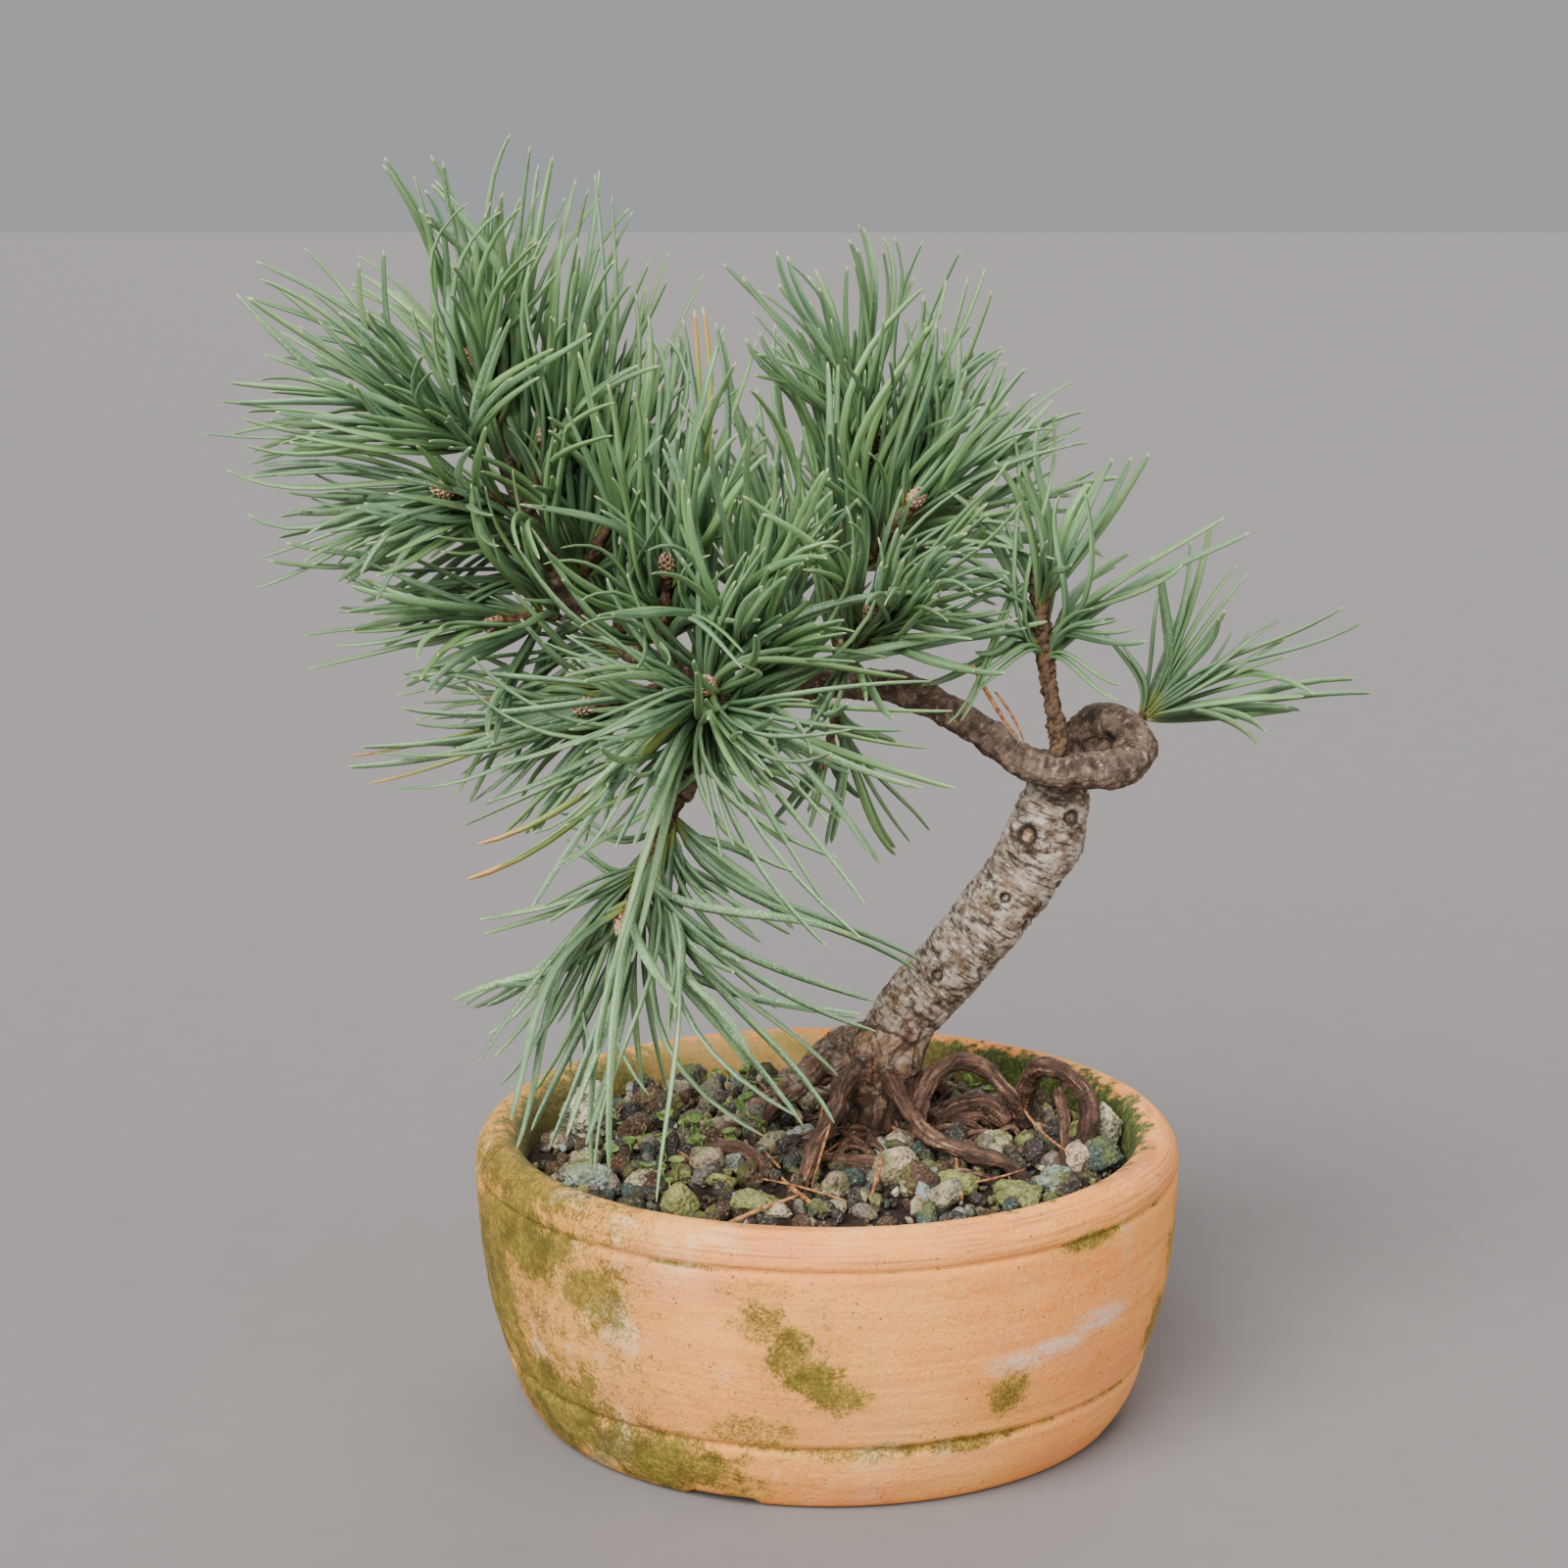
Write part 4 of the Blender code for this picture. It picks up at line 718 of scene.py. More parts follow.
def soil_material():
    """Dark damp grit, darker in the dips of its lumps as painted shade."""
    s = Shader("soil_grit", 0.9, specular=0.2)
    lumps = s.cells(0.0022)
    colour = s.mix(s.noise(0.004), (30, 23, 20), (62, 46, 36))
    # painted shade: darker where the bump of the lumps dips
    colour = s.mix(s.between(lumps, 0.1, 0.6, 0.5, 0.0), colour, (30, 24, 22))
    s.colour(colour)
    s.bump((lumps, 0.0008), (s.noise(0.0006), 0.0003))
    return s.material


def stone_material():
    """Pitted pumice and grit, with painted shade in its pits; the tint attribute gives each stone its
    colour.
    """
    s = Shader("stone_pitted", 0.88, specular=0.25)
    tint = s.attribute("tint").outputs["Color"]
    pits = s.cells(0.0009)
    fine = s.noise(0.0005, detail=4)
    broad = s.noise(0.0035, detail=3)
    colour = s.mix(s.between(broad, 0.4, 0.6, 0.0, 0.75), tint, s.mix(0.55, tint, (48, 44, 32)))
    colour = s.mix(s.between(fine, 0.5, 0.72, 0.0, 0.55), colour, s.mix(0.5, tint, (232, 226, 204)))
    # painted shade: the pits darkened
    colour = s.mix(s.between(pits, 0.1, 0.34, 0.75, 0.0), colour, (42, 37, 30))
    soiled = s.between(s.noise(0.002, detail=5, roughness=0.7), 0.52, 0.62, 0.0, 0.75)
    colour = s.mix(soiled, colour, (60, 48, 38))
    moss = s.times(s.between(s.noise(0.006, detail=4), 0.5, 0.66), 0.5)
    colour = s.mix(moss, colour, (112, 118, 58))
    s.colour(colour)
    s.bump((pits, 0.0006), (fine, 0.0004))
    return s.material


def bark_material():
    """Grey-tan bark with dark creases, partly painted shade; wood holds crease depth, kind of wood and
    flakiness.
    """
    s = Shader("bark_rough", 0.78, specular=0.35)
    crease_dark_and_shade, kind, flake = s.channels("wood")
    grain = s.attribute("grain").outputs["Vector"]
    fine = s.noise(0.0006, detail=4)
    middle = s.noise(0.0035, detail=4)
    broad = s.noise(0.009, detail=2)
    rings = s.noise(1.0, detail=3, roughness=0.65, vector=s.stretched(0.16, 0.16, 1.5, grain))
    chips = s.noise(1.0, detail=4, roughness=0.7, vector=s.stretched(0.5, 0.5, 0.9, grain))
    fibres = s.noise(1.0, detail=4, roughness=0.65, vector=s.stretched(1.6, 1.6, 0.16, grain))
    trunk = s.mix(s.between(middle, 0.38, 0.62), (178, 164, 146), (128, 104, 82))
    trunk = s.coats(trunk,
                    (chips, 0.52, 0.62, 0.8, (206, 198, 184)),
                    (chips, 0.46, 0.38, 0.8, (84, 60, 44)),
                    (rings, 0.44, 0.36, 0.85, (62, 46, 36)))
    flaky = s.times(flake, s.between(broad, 0.35, 0.6, 0.45, 1.0))
    flakes = s.mix(s.between(chips, 0.42, 0.6), (96, 58, 34), (190, 142, 96))
    trunk = s.mix(s.times(flaky, 0.8), trunk, flakes)
    _, _, height = s.split()
    damp = s.times(s.between(height, 0.080, 0.058), s.between(middle, 0.3, 0.6, 0.35, 0.8))
    trunk = s.mix(damp, trunk, s.mix(s.between(fibres, 0.4, 0.62), (78, 50, 34), (142, 106, 76)))
    branch = s.mix(s.between(middle, 0.38, 0.62), (128, 104, 86), (74, 56, 46))
    branch = s.coats(branch,
                     (chips, 0.54, 0.68, 0.85, (176, 154, 132)),
                     (chips, 0.44, 0.34, 0.8, (40, 30, 26)))
    root = s.mix(s.between(fibres, 0.36, 0.66), (64, 41, 31), (124, 90, 68))
    root = s.coats(root,
                   # pale streaks along the root fibres: partly pale strands, partly painted highlight
                   (s.plus(fibres, s.times(fine, 0.3)), 0.72, 0.9, 1.0, (184, 156, 128)),
                   (broad, 0.5, 0.66, 0.65, (52, 34, 27)))
    colour = s.mix(s.between(kind, 0.1, 0.42), trunk, branch)
    colour = s.mix(s.between(kind, 0.58, 0.95), colour, root)
    # creases painted nearly black: partly the bark's own dark fissures, partly painted shade
    colour = s.mix(s.between(crease_dark_and_shade, 0.2, 0.85, 0.0, 0.92), colour, (38, 27, 21))
    flecks = s.times(s.between(s.cells(0.0016), 0.07, 0.18, 0.85, 0.0), s.between(middle, 0.48, 0.58))
    colour = s.mix(flecks, colour, (46, 33, 26))
    s.colour(colour)
    s.bump((rings, 0.0004), (chips, 0.0005), (fibres, 0.0003), (fine, 0.0002))
    return s.material


def needle_material():
    """Waxy green with a painted highlight along the needles' sides; needle holds share along, tone and
    frost, with the sides' share of that highlight in alpha, and fibre holds around, length, seed.
    """
    s = Shader("needle_green", 0.5, specular=0.45)
    along, tone, frost = s.channels("needle")
    edge = s.attribute("needle").outputs["Alpha"]
    fibre = s.attribute("fibre").outputs["Vector"]
    _, _, seed = s.split(fibre)
    deep = s.mix(tone, (44, 78, 42), (108, 146, 80))
    shade = s.between(along, 0.08, 0.62, 0.6, 0.0)
    bluish = s.between(s.noise(0.16, detail=1, vector=s.stretched(0, 0, 1, fibre)), 0.42, 0.6)
    green = s.mix(s.times(bluish, 0.7), deep, (60, 102, 88))
    streak = s.noise(1.0, detail=3, vector=s.stretched(9.0, 0.12, 3.0, fibre))
    green = s.mix(s.between(streak, 0.4, 0.7, 0.0, 0.5), green, (146, 174, 116))
    # painted highlight: the needle's sides lightened
    green = s.mix(s.times(edge, 0.45), green, (158, 190, 132))
    dots = s.noise(1.0, detail=2, roughness=0.7, vector=s.stretched(14.0, 3.2, 5.0, fibre))
    wax = s.times(s.between(dots, 0.52, 0.68), frost)
    green = s.mix(wax, green, (196, 210, 190))
    green = s.mix(shade, green, (34, 62, 36))
    green = s.mix(s.between(along, 0.11, 0.0, 0.0, 0.8), green, (158, 168, 88))
    yellow = s.math("GREATER_THAN", tone, 1.2)
    green = s.mix(s.times(yellow, 0.65), green, (164, 170, 78))
    band = s.times(s.between(s.noise(3.0, detail=1, vector=s.stretched(0, 1, 1, fibre)), 0.74, 0.77),
                  s.between(seed, 0.6, 0.7))
    green = s.mix(band, green, (206, 150, 84))
    scorched = s.times(yellow, s.between(along, 0.8, 0.94, 0.0, 0.8))
    green = s.mix(scorched, green, (204, 146, 76))
    green = s.mix(s.between(along, 0.972, 0.995, 0.0, 0.6), green, (204, 198, 140))
    s.colour(green)
    s.rough(s.between(streak, 0.3, 0.8, 0.36, 0.55))
    s.main.inputs["Subsurface Weight"].default_value = 0.08
    s.main.inputs["Subsurface Radius"].default_value = (0.3, 0.6, 0.2)
    s.main.inputs["Subsurface Scale"].default_value = 0.001
    s.bump((streak, 0.00012))
    return s.material


def twig_material():
    """Dark scaly shoot bark and red-brown bud scales; scale holds edge, bud share and tone."""
    s = Shader("twig_scaly", 0.8, specular=0.25)
    edge, bud, tone = s.channels("scale")
    fine = s.noise(0.0005, detail=4)
    bark = s.mix(fine, (70, 50, 38), (126, 98, 72))
    scales = s.mix(s.between(tone, 0.2, 0.8), (112, 62, 42), (168, 124, 92))
    colour = s.mix(bud, bark, scales)
    colour = s.mix(s.between(edge, 0.45, 0.9, 0.0, 0.75), colour, s.mix(bud, (38, 26, 20), (214, 196, 166)))
    s.colour(colour)
    s.bump((fine, 0.0003))
    return s.material


def flat_leaf_material(name, dark, light):
    """Small green leaves or dry debris, mottled between two colours."""
    s = Shader(name, 0.6, specular=0.3)
    s.colour(s.mix(s.between(s.noise(0.0012, detail=3), 0.35, 0.7), dark, light))
    s.bump((s.noise(0.0006), 0.0002))
    return s.material


def net_material():
    """Black moulded plastic net."""
    s = Shader("net_plastic", 0.5)
    s.colour(s.mix(s.noise(0.002), (38.7, 38.7, 38.7), (63.2, 63.2, 61.9)))
    s.bump((s.noise(0.0008), 0.0001))
    return s.material


# ------------------------------------------------------------------ bowl and soil
def make_bowl():
    """The bowl, turned finely, with throwing lines, notched foot and a slightly uneven lip."""
    outer = fine_profile(BOWL_OUTSIDE, 1.0)
    lip = fine_profile(BOWL_RIM, 0.8)
    inner = fine_profile(BOWL_INSIDE, 3.0)
    profile = outer + lip + inner + BOWL_UNDER
    wetness = [0.0] * len(outer) + list(np.linspace(0.0, 1.0, len(lip))) + [1.0] * len(inner)
    wetness += [0.0] * len(BOWL_UNDER)
    points, marks = [], []
    for index, (radius, z) in enumerate(profile):
        for angle in turns(BOWL_SIDES):
            spread = radius
            if index < len(outer) + len(lip) and z > THROWN_FROM:
                around = Vector((math.cos(angle), math.sin(angle), 0))
                spread += THROWING_LINE_DEPTH * noise.noise(around * 0.5 + Vector((0, 0, z * 0.9)))
                spread += UNEVENNESS * noise.noise(around * 1.4 + Vector((0, 0, z * 0.05)))
            lift = notch_lift(radius, z, angle)
            points.append((spread * math.cos(angle), spread * math.sin(angle), z + lift))
            marks.append((wetness[index], 0.0, 0.0, 1.0))
    faces = ring_faces([*range(0, len(points), BOWL_SIDES), 0], BOWL_SIDES)
    new_piece("bowl_clay", points, faces, terracotta(), ["bowl"],
              {"inner": ("FLOAT_COLOR", marks)})


def fine_profile(corners, step):
    """Points every step or so along a Catmull-Rom curve through corners of a profile."""
    rows = [(radius, 0.0, z, 0.0) for radius, z in corners]
    return [(row[0], row[2]) for row in smooth_path(rows, step)]


def notch_lift(radius, z, angle):
    """How far the foot is raised at one of its notches."""
    if z > FOOT_HEIGHT or radius < FOOT_INSIDE:
        return 0.0
    lift = 0.0
    for step in range(NOTCHES):
        middle = NOTCH_ANGLE + 2 * math.pi * step / NOTCHES
        off = abs(math.remainder(angle - middle, 2 * math.pi)) * radius
        lift = max(lift, smoothstep(NOTCH_HALF_WIDTH, NOTCH_HALF_WIDTH - NOTCH_SLOPE, off))
    return lift * max(0.0, NOTCH_HEIGHT - z)


def soil_height(x, y):
    """How high the soil stands at a place, in millimetres: a low mound with lumps."""
    share = min(1.0, math.hypot(x, y) / SOIL_RADIUS)
    lumps = noise.noise(Vector((x, y, 0)) / SOIL_LUMPS)
    return SOIL_CENTRE_HEIGHT + (SOIL_EDGE_HEIGHT - SOIL_CENTRE_HEIGHT) * share ** 2 + lumps


def make_soil():
    """The soil body, rough on top."""
    points = [(0, 0, soil_height(0, 0))]
    for ring in range(1, SOIL_RINGS + 1):
        radius = SOIL_RADIUS * ring / SOIL_RINGS
        for angle in turns(SOIL_SIDES):
            x, y = radius * math.cos(angle), radius * math.sin(angle)
            rough = 0.9 * noise.noise(Vector((x, y, 3)) / 1.7) + 0.5 * noise.noise(Vector((x, y, 9)) / 0.7)
            points.append((x, y, soil_height(x, y) + rough - 0.6))
    for radius, z in SOIL_WALL:
        for angle in turns(SOIL_SIDES):
            points.append((radius * math.cos(angle), radius * math.sin(angle), z))
    starts = range(1, len(points), SOIL_SIDES)
    faces = [(0, 1 + step, 1 + (step + 1) % SOIL_SIDES) for step in range(SOIL_SIDES)]
    faces += ring_faces(starts, SOIL_SIDES, inward=True)
    faces.append(tuple(reversed(range(starts[-1], starts[-1] + SOIL_SIDES))))
    new_piece("soil_body", points, faces, soil_material(), ["soil"])


def rock(subdivisions, facets=10, roughness=0.13):
    """Points and faces of one angular rock about the origin, about one unit across."""
    cuts = [(random_unit(), random.uniform(0.36, 0.54)) for _ in range(facets)]
    seed = Vector((random.uniform(0, 99), 0, 0))
    ball = bmesh.new()
    bmesh.ops.create_icosphere(ball, subdivisions=subdivisions, radius=1.0)
    points = []
    for vert in ball.verts:
        at = vert.co
        reach = ROCK_REACH ** -ROCK_SHARPNESS
        reach += sum((max(0.0, at.dot(normal)) / depth) ** ROCK_SHARPNESS for normal, depth in cuts)
        radius = reach ** (-1 / ROCK_SHARPNESS)
        radius *= 1 + roughness * (noise.noise(at * 3.0 + seed) + 0.6 * noise.noise(at * 7.0 + seed))
        points.append(at * radius)
    faces = [tuple(v.index for v in face.verts) for face in ball.faces]
    ball.free()
    return points, faces


def stone_tint(look):
    """A stone's colour with a little chance in it."""
    lightness = random.uniform(0.78, 1.12)
    tone = srgb(*STONE_COLOURS[look])
    return [min(1.0, channel * lightness * random.uniform(0.94, 1.06)) for channel in tone]


def make_stones(surface):
    """Each larger stone, where its CAD solid lies."""
    for name, (width, height, yaw, look, slot) in STONES.items():
        low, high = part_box(name)
        centre = ((low + high) / 2 - AXIS) / MM
        points, faces = rock(5, roughness=0.16)
        size = Matrix.Diagonal((width * 1.12, width * 0.92, height * 1.12))
        turn = Matrix.Rotation(math.radians(yaw), 3, "Z") @ size
        points = [turn @ point + centre for point in points]
        tint = (*stone_tint(look), 1.0)
        new_piece(name + "_rough", points, faces, surface, [name],
                  {"tint": ("FLOAT_COLOR", [tint] * len(points))})


def make_grit(name, surface, count, smallest, largest, looks, subdivisions):
    """Loose rocks strewn over the soil, clear of the trunk and the bowl's wall."""
    points, faces, tints = [], [], []
    shapes = [rock(subdivisions) for _ in range(ROCK_SHAPES)]
    for index in range(count):
        size = random.uniform(smallest, largest)
        x, y = random_on_disc(SOIL_RADIUS - WALL_GAP - size / 2)
        if math.hypot(x - TRUNK[0][0], y - TRUNK[0][1]) < TRUNK[0][3]:
            continue
        lift = random.uniform(*ROCK_LIFT) * size
        turn = Euler([random.uniform(0, math.pi) for _ in range(3)]).to_matrix()
        stretch = Matrix.Diagonal((size, size * random.uniform(*ROCK_BREADTH),
                                   size * random.uniform(*ROCK_THICKNESS)))
        spot = Vector((x, y, soil_height(x, y) + lift))
        shape_points, shape_faces = shapes[index % ROCK_SHAPES]
        join(points, faces, [turn @ stretch @ point + spot for point in shape_points], shape_faces)
        tints.extend([(*stone_tint(random.choice(looks)), 1.0)] * len(shape_points))
    new_piece(name, points, faces, surface, (), {"tint": ("FLOAT_COLOR", tints)})


def make_leaflets(surface):
    """Small round weed leaves on thin stalks, in loose groups."""
    points, faces = [], []
    for group_x, group_y, number in LEAFLETS:
        for _ in range(number):
            x = group_x + random.gauss(0, LEAF_SCATTER)
            y = group_y + random.gauss(0, LEAF_SCATTER)
            foot = Vector((x, y, soil_height(x, y)))
            centre = foot + Vector((random.gauss(0, 1.2), random.gauss(0, 1.2), random.uniform(1.2, 4.6)))
            add_leaf(points, faces, foot, centre, random.uniform(0.9, 1.9))
    new_piece("weed_leaflets", points, faces, surface)


def add_leaf(points, faces, foot, centre, size):
    """One cupped round leaf, two-sided, with its stalk."""
    tilt = Euler((random.gauss(0, 0.5), random.gauss(0, 0.5), random.uniform(0, math.pi))).to_matrix()
    base = len(points)
    for height, scale in LEAF_RINGS:
        for angle in turns(LEAF_SIDES):
            lobe = 1 + 0.06 * math.cos(3 * angle)
            spot = Vector((math.cos(angle) * scale * lobe, math.sin(angle) * scale * 0.86 * lobe,
                           height + LEAF_CUP * scale))
            points.append(centre + tilt @ spot * size)
    faces.extend(ring_faces(range(base, len(points), LEAF_SIDES), LEAF_SIDES, inward=True))
    join(points, faces, *tube_mesh([(*foot, 0.2), (*((foot + centre) / 2), 0.18), (*centre, 0.16)], 6))


def make_litter():
    """Dead needles, caught in the tree and lying on the soil."""
    dry = Needles()
    for start, end in DEAD_NEEDLES:
        start, end = Vector(start), Vector(end)
        add_dry_needle(dry, start, end, random_unit() * (end - start).length * 0.06, 0.95)
    for _ in range(DEAD_NEEDLE_COUNT):
        middle = Vector((*random_on_disc(LITTER_REACH), 0))
        half = Euler((0, 0, random.uniform(0, math.pi))).to_matrix() @ Vector((random.uniform(3, 11), 0, 0))
        ends = [middle - half, middle + half]
        if max(end.length for end in ends) > SOIL_RADIUS - 3:
            continue
        for end in ends:
            end.z = soil_height(end.x, end.y) + random.uniform(0.8, 2.6)
        add_dry_needle(dry, *ends, random_unit() * 0.8, random.uniform(0.6, 1.1))
    brown = flat_leaf_material("dead_needles", (120, 72, 40), (196, 142, 92))
    dry.piece("needle_litter", brown, "bark", ())


def add_dry_needle(dry, start, end, sag, width):
    """One dead needle, slightly bowed."""
    first, second = start.lerp(end, 0.33) + sag, start.lerp(end, 0.67) + sag
    dry.add(start, first, second, end, width, flat_side=random_unit(), tone=0.5, frost=0)


# ------------------------------------------------------------------ wood
def wood_samples():
    """Every wood path, resampled each millimetre, with kind and distance along."""
    rows = []
    paths = [(TRUNK, TRUNK_KIND), (MAIN_BRANCH, BRANCH_KIND), (APEX_BRANCH, BRANCH_KIND),
             (CENTRE_BRANCH, BRANCH_KIND), (LOOP_FILLING, BRANCH_KIND), (ROOT_PATHS[0], PALE_ROOT_KIND)]
    paths += [(path, ROOT_KIND) for path in ROOT_PATHS[1:] + fine_roots()]
    for number, (table, kind) in enumerate(paths):
        path = smooth_path(table, 1.0)
        distance = 0.0
        for index, (centre, side, up, tangent) in enumerate(ring_frames(path)):
            if index:
                distance += (centre - rows[-1][0]).length
            rows.append((centre, side, up, tangent, path[index][3], kind, distance, number))
    return paths, rows


def fine_roots():
    """Thin roots that wander out from under the trunk."""
    paths = []
    for _ in range(FINE_ROOTS):
        angle = random.uniform(0, 2 * math.pi)
        x = TRUNK[0][0] + FINE_ROOT_START * math.cos(angle)
        y = TRUNK[0][1] + FINE_ROOT_START * math.sin(angle)
        path = [(x, y, random.uniform(54, 60), 1.1)]
        for step in range(1, FINE_ROOT_STEPS + 1):
            angle += random.gauss(0, 0.5)
            x += FINE_ROOT_STEP * math.cos(angle)
            y += FINE_ROOT_STEP * math.sin(angle)
            if math.hypot(x, y) > SOIL_RADIUS - 8:
                break
            path.append((x, y, soil_height(x, y) + random.uniform(-0.6, 3.2), 1.15 - 0.08 * step))
        if len(path) > 2:
            buried = soil_height(x, y) - 2
            path.append((x + 2 * math.cos(angle), y + 2 * math.sin(angle), buried, 0.7))
            paths.append(path)
    return paths


def scaled_noise(point, across, along):
    """Noise at a point of unrolled bark, stretched across and along the grain."""
    return noise.noise(Vector((point.x * across, point.y * across, point.z * along)))


def crack_at(value, sharpness):
    """1 where noise crosses zero, falling to 0 beside it."""
    return 1 - min(1.0, abs(value) * sharpness)


def bark_depth(kind, flake, ring, point):
    """How far bark stands out at a spot, in millimetres, and how deep in a crease it is, which the material
    paints dark, partly as painted shade.
    """
    if kind == TRUNK_KIND:
        broken = smoothstep(-0.35, 0.1, noise.noise(ring * 0.23 + Vector((9, 0, 0))))
        crack = crack_at(scaled_noise(ring, 0.16, 0.62), 4.0) * broken
        distances, _ = noise.voronoi(Vector((ring.x * 0.34, ring.y * 0.34, ring.z * 0.24)))
        plate = smoothstep(0.0, 0.32, distances[1] - distances[0])
        out = 0.55 * noise.noise(ring * 0.16) - 0.5 * crack - 0.85 * flake * (1 - plate)
        out += 0.14 * noise.noise(ring * 1.1)
        return out, max(crack * 0.8, flake * (1 - plate))
    if kind == BRANCH_KIND:
        crack = crack_at(scaled_noise(ring, 0.3, 0.7), 5.0)
        fold = crack_at(scaled_noise(ring, 0.9, 0.22), 4.5)
        rough = noise.noise(ring * 0.75)
        out = 0.8 * noise.noise(ring * 0.26) - 0.2 * crack - 0.2 * fold + 0.3 * rough
        out += 0.2 * noise.noise(ring * 2.0)
        return out, max(crack * 0.55, fold * 0.5, smoothstep(0.2, 0.7, -rough) * 0.5)
    groove = crack_at(scaled_noise(ring, 0.8, 0.14), 4.0)
    wrinkle = crack_at(scaled_noise(ring, 0.3, 0.9), 5.0)
    out = (0.9 * noise.noise(ring * 0.2) + 0.45 * noise.noise(ring * 0.5) - 0.32 * groove - 0.2 * wrinkle
           + 0.2 * noise.noise(point * 1.4))
    return out, max(groove * 0.75, wrinkle * 0.6)


def fused_wood(tables):
    """Tubes along the wood's paths fused into one skin: its points, normals and faces."""
    points, faces = [], []
    for table in tables:
        join(points, faces, *tube_mesh(smooth_path(table, 1.5), WOOD_SIDES))
    rough = bpy.data.meshes.new("wood_core")
    rough.from_pydata([tuple(point) for point in points], [], faces)
    core = bpy.data.objects.new("wood_core", rough)
    bpy.context.collection.objects.link(core)
    remesh = core.modifiers.new("fuse", "REMESH")
    remesh.mode = "VOXEL"
    remesh.voxel_size = WOOD_VOXEL
    soften = core.modifiers.new("soften", "SMOOTH")
    soften.factor = 0.5
    soften.iterations = 6
    fused = core.evaluated_get(bpy.context.evaluated_depsgraph_get()).to_mesh()
    skin = [(vert.co.copy(), vert.normal.copy()) for vert in fused.vertices]
    shape = [tuple(polygon.vertices) for polygon in fused.polygons]
    bpy.data.objects.remove(core, do_unlink=True)
    return skin, shape


def make_wood():
    """Trunk, branches and roots fused into one grown piece, with bark modelled on it."""
    paths, rows = wood_samples()
    skin, shape = fused_wood([table for table, _ in paths])
    tree = point_tree([row[0] for row in rows])
    trunk_path = smooth_path(TRUNK, 1.0)
    trunk_tree = point_tree(trunk_path[:, :3])
    spots, marks, grain = [], [], []
    for point, normal in skin:
        candidates = tree.find_n(point, 4)
        _, best, _ = min(candidates, key=lambda found: found[2] / rows[found[1]][4])
        centre, side, up, tangent, radius, kind, distance, number = rows[best]
        offset = point - centre
        angle = math.atan2(offset.dot(up), offset.dot(side))
        along = distance + offset.dot(tangent) + GRAIN_SHIFT * number
        ring = Vector((math.cos(angle) * radius, math.sin(angle) * radius, along))
        flake = smoothstep(*FLAKY_HEIGHTS, point.z) * (kind == TRUNK_KIND)
        _, at_trunk, off_trunk = trunk_tree.find(point)
        shown_kind = kind
        if kind == ROOT_KIND and point.z > ROOT_FLARE:
            shown_kind *= smoothstep(1.02, 1.3, off_trunk / trunk_path[at_trunk][3])
            flake = 1 - shown_kind
        out, crease_dark_and_shade = bark_depth(kind, 0.25 + 0.75 * flake, ring, point)
        knot_out, knot_crease_dark_and_shade, heart = knot(point)
        spots.append(point + normal * (out * min(1.0, 0.45 + radius / 10) + knot_out))
        marks.append((min(1.0, max(crease_dark_and_shade, knot_crease_dark_and_shade)), shown_kind, max(flake, heart), 1.0))
        grain.append(ring)
    marks = np.array(marks)
    marks[:, 1] = softened(marks[:, 1], shape, KIND_SOFTENING)
    names = [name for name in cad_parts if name.startswith("root_")]
    names += ["trunk", "main_branch", "apex_branch", "centre_branch"]
    new_piece("wood_and_roots", spots, shape, bark_material(), names,
              {"wood": ("FLOAT_COLOR", marks), "grain": ("FLOAT_VECTOR", grain)})


def softened(values, faces, rounds):
    """Values on a mesh's points after averaging with their neighbours some rounds."""
    quads = np.array([face for face in faces if len(face) == 4])
    edges = np.vstack([quads[:, [0, 1]], quads[:, [1, 2]], quads[:, [2, 3]], quads[:, [3, 0]]])
    edges = np.vstack([edges, edges[:, ::-1]])
    counts = np.maximum(1, np.bincount(edges[:, 0], minlength=len(values)))
    for _ in range(rounds):
        values = 0.3 * values + 0.7 * np.bincount(edges[:, 0], values[edges[:, 1]], len(values)) / counts
    return values


def knot(point):
    """A healed scar: a raised ring round a dimple, with a brown heart or a dark hollow; its groove and
    hollow are painted dark, partly as painted shade.
    """
    out, crease_dark_and_shade, brown = 0.0, 0.0, 0.0
    for centre, size, heart, hollow in KNOTS:
        apart = (point - Vector(centre)).length / size
        if apart < 2.2:
            out += 0.7 * math.exp(-((apart - 0.95) / 0.35) ** 2) - 1.0 * math.exp(-(apart / 0.6) ** 2)
            groove = math.exp(-((apart - 0.55) / 0.2) ** 2)
            crease_dark_and_shade = max(crease_dark_and_shade, groove, hollow * smoothstep(0.95, 0.5, apart))
            brown = max(brown, heart * smoothstep(0.6, 0.3, apart))
    return out, crease_dark_and_shade, brown


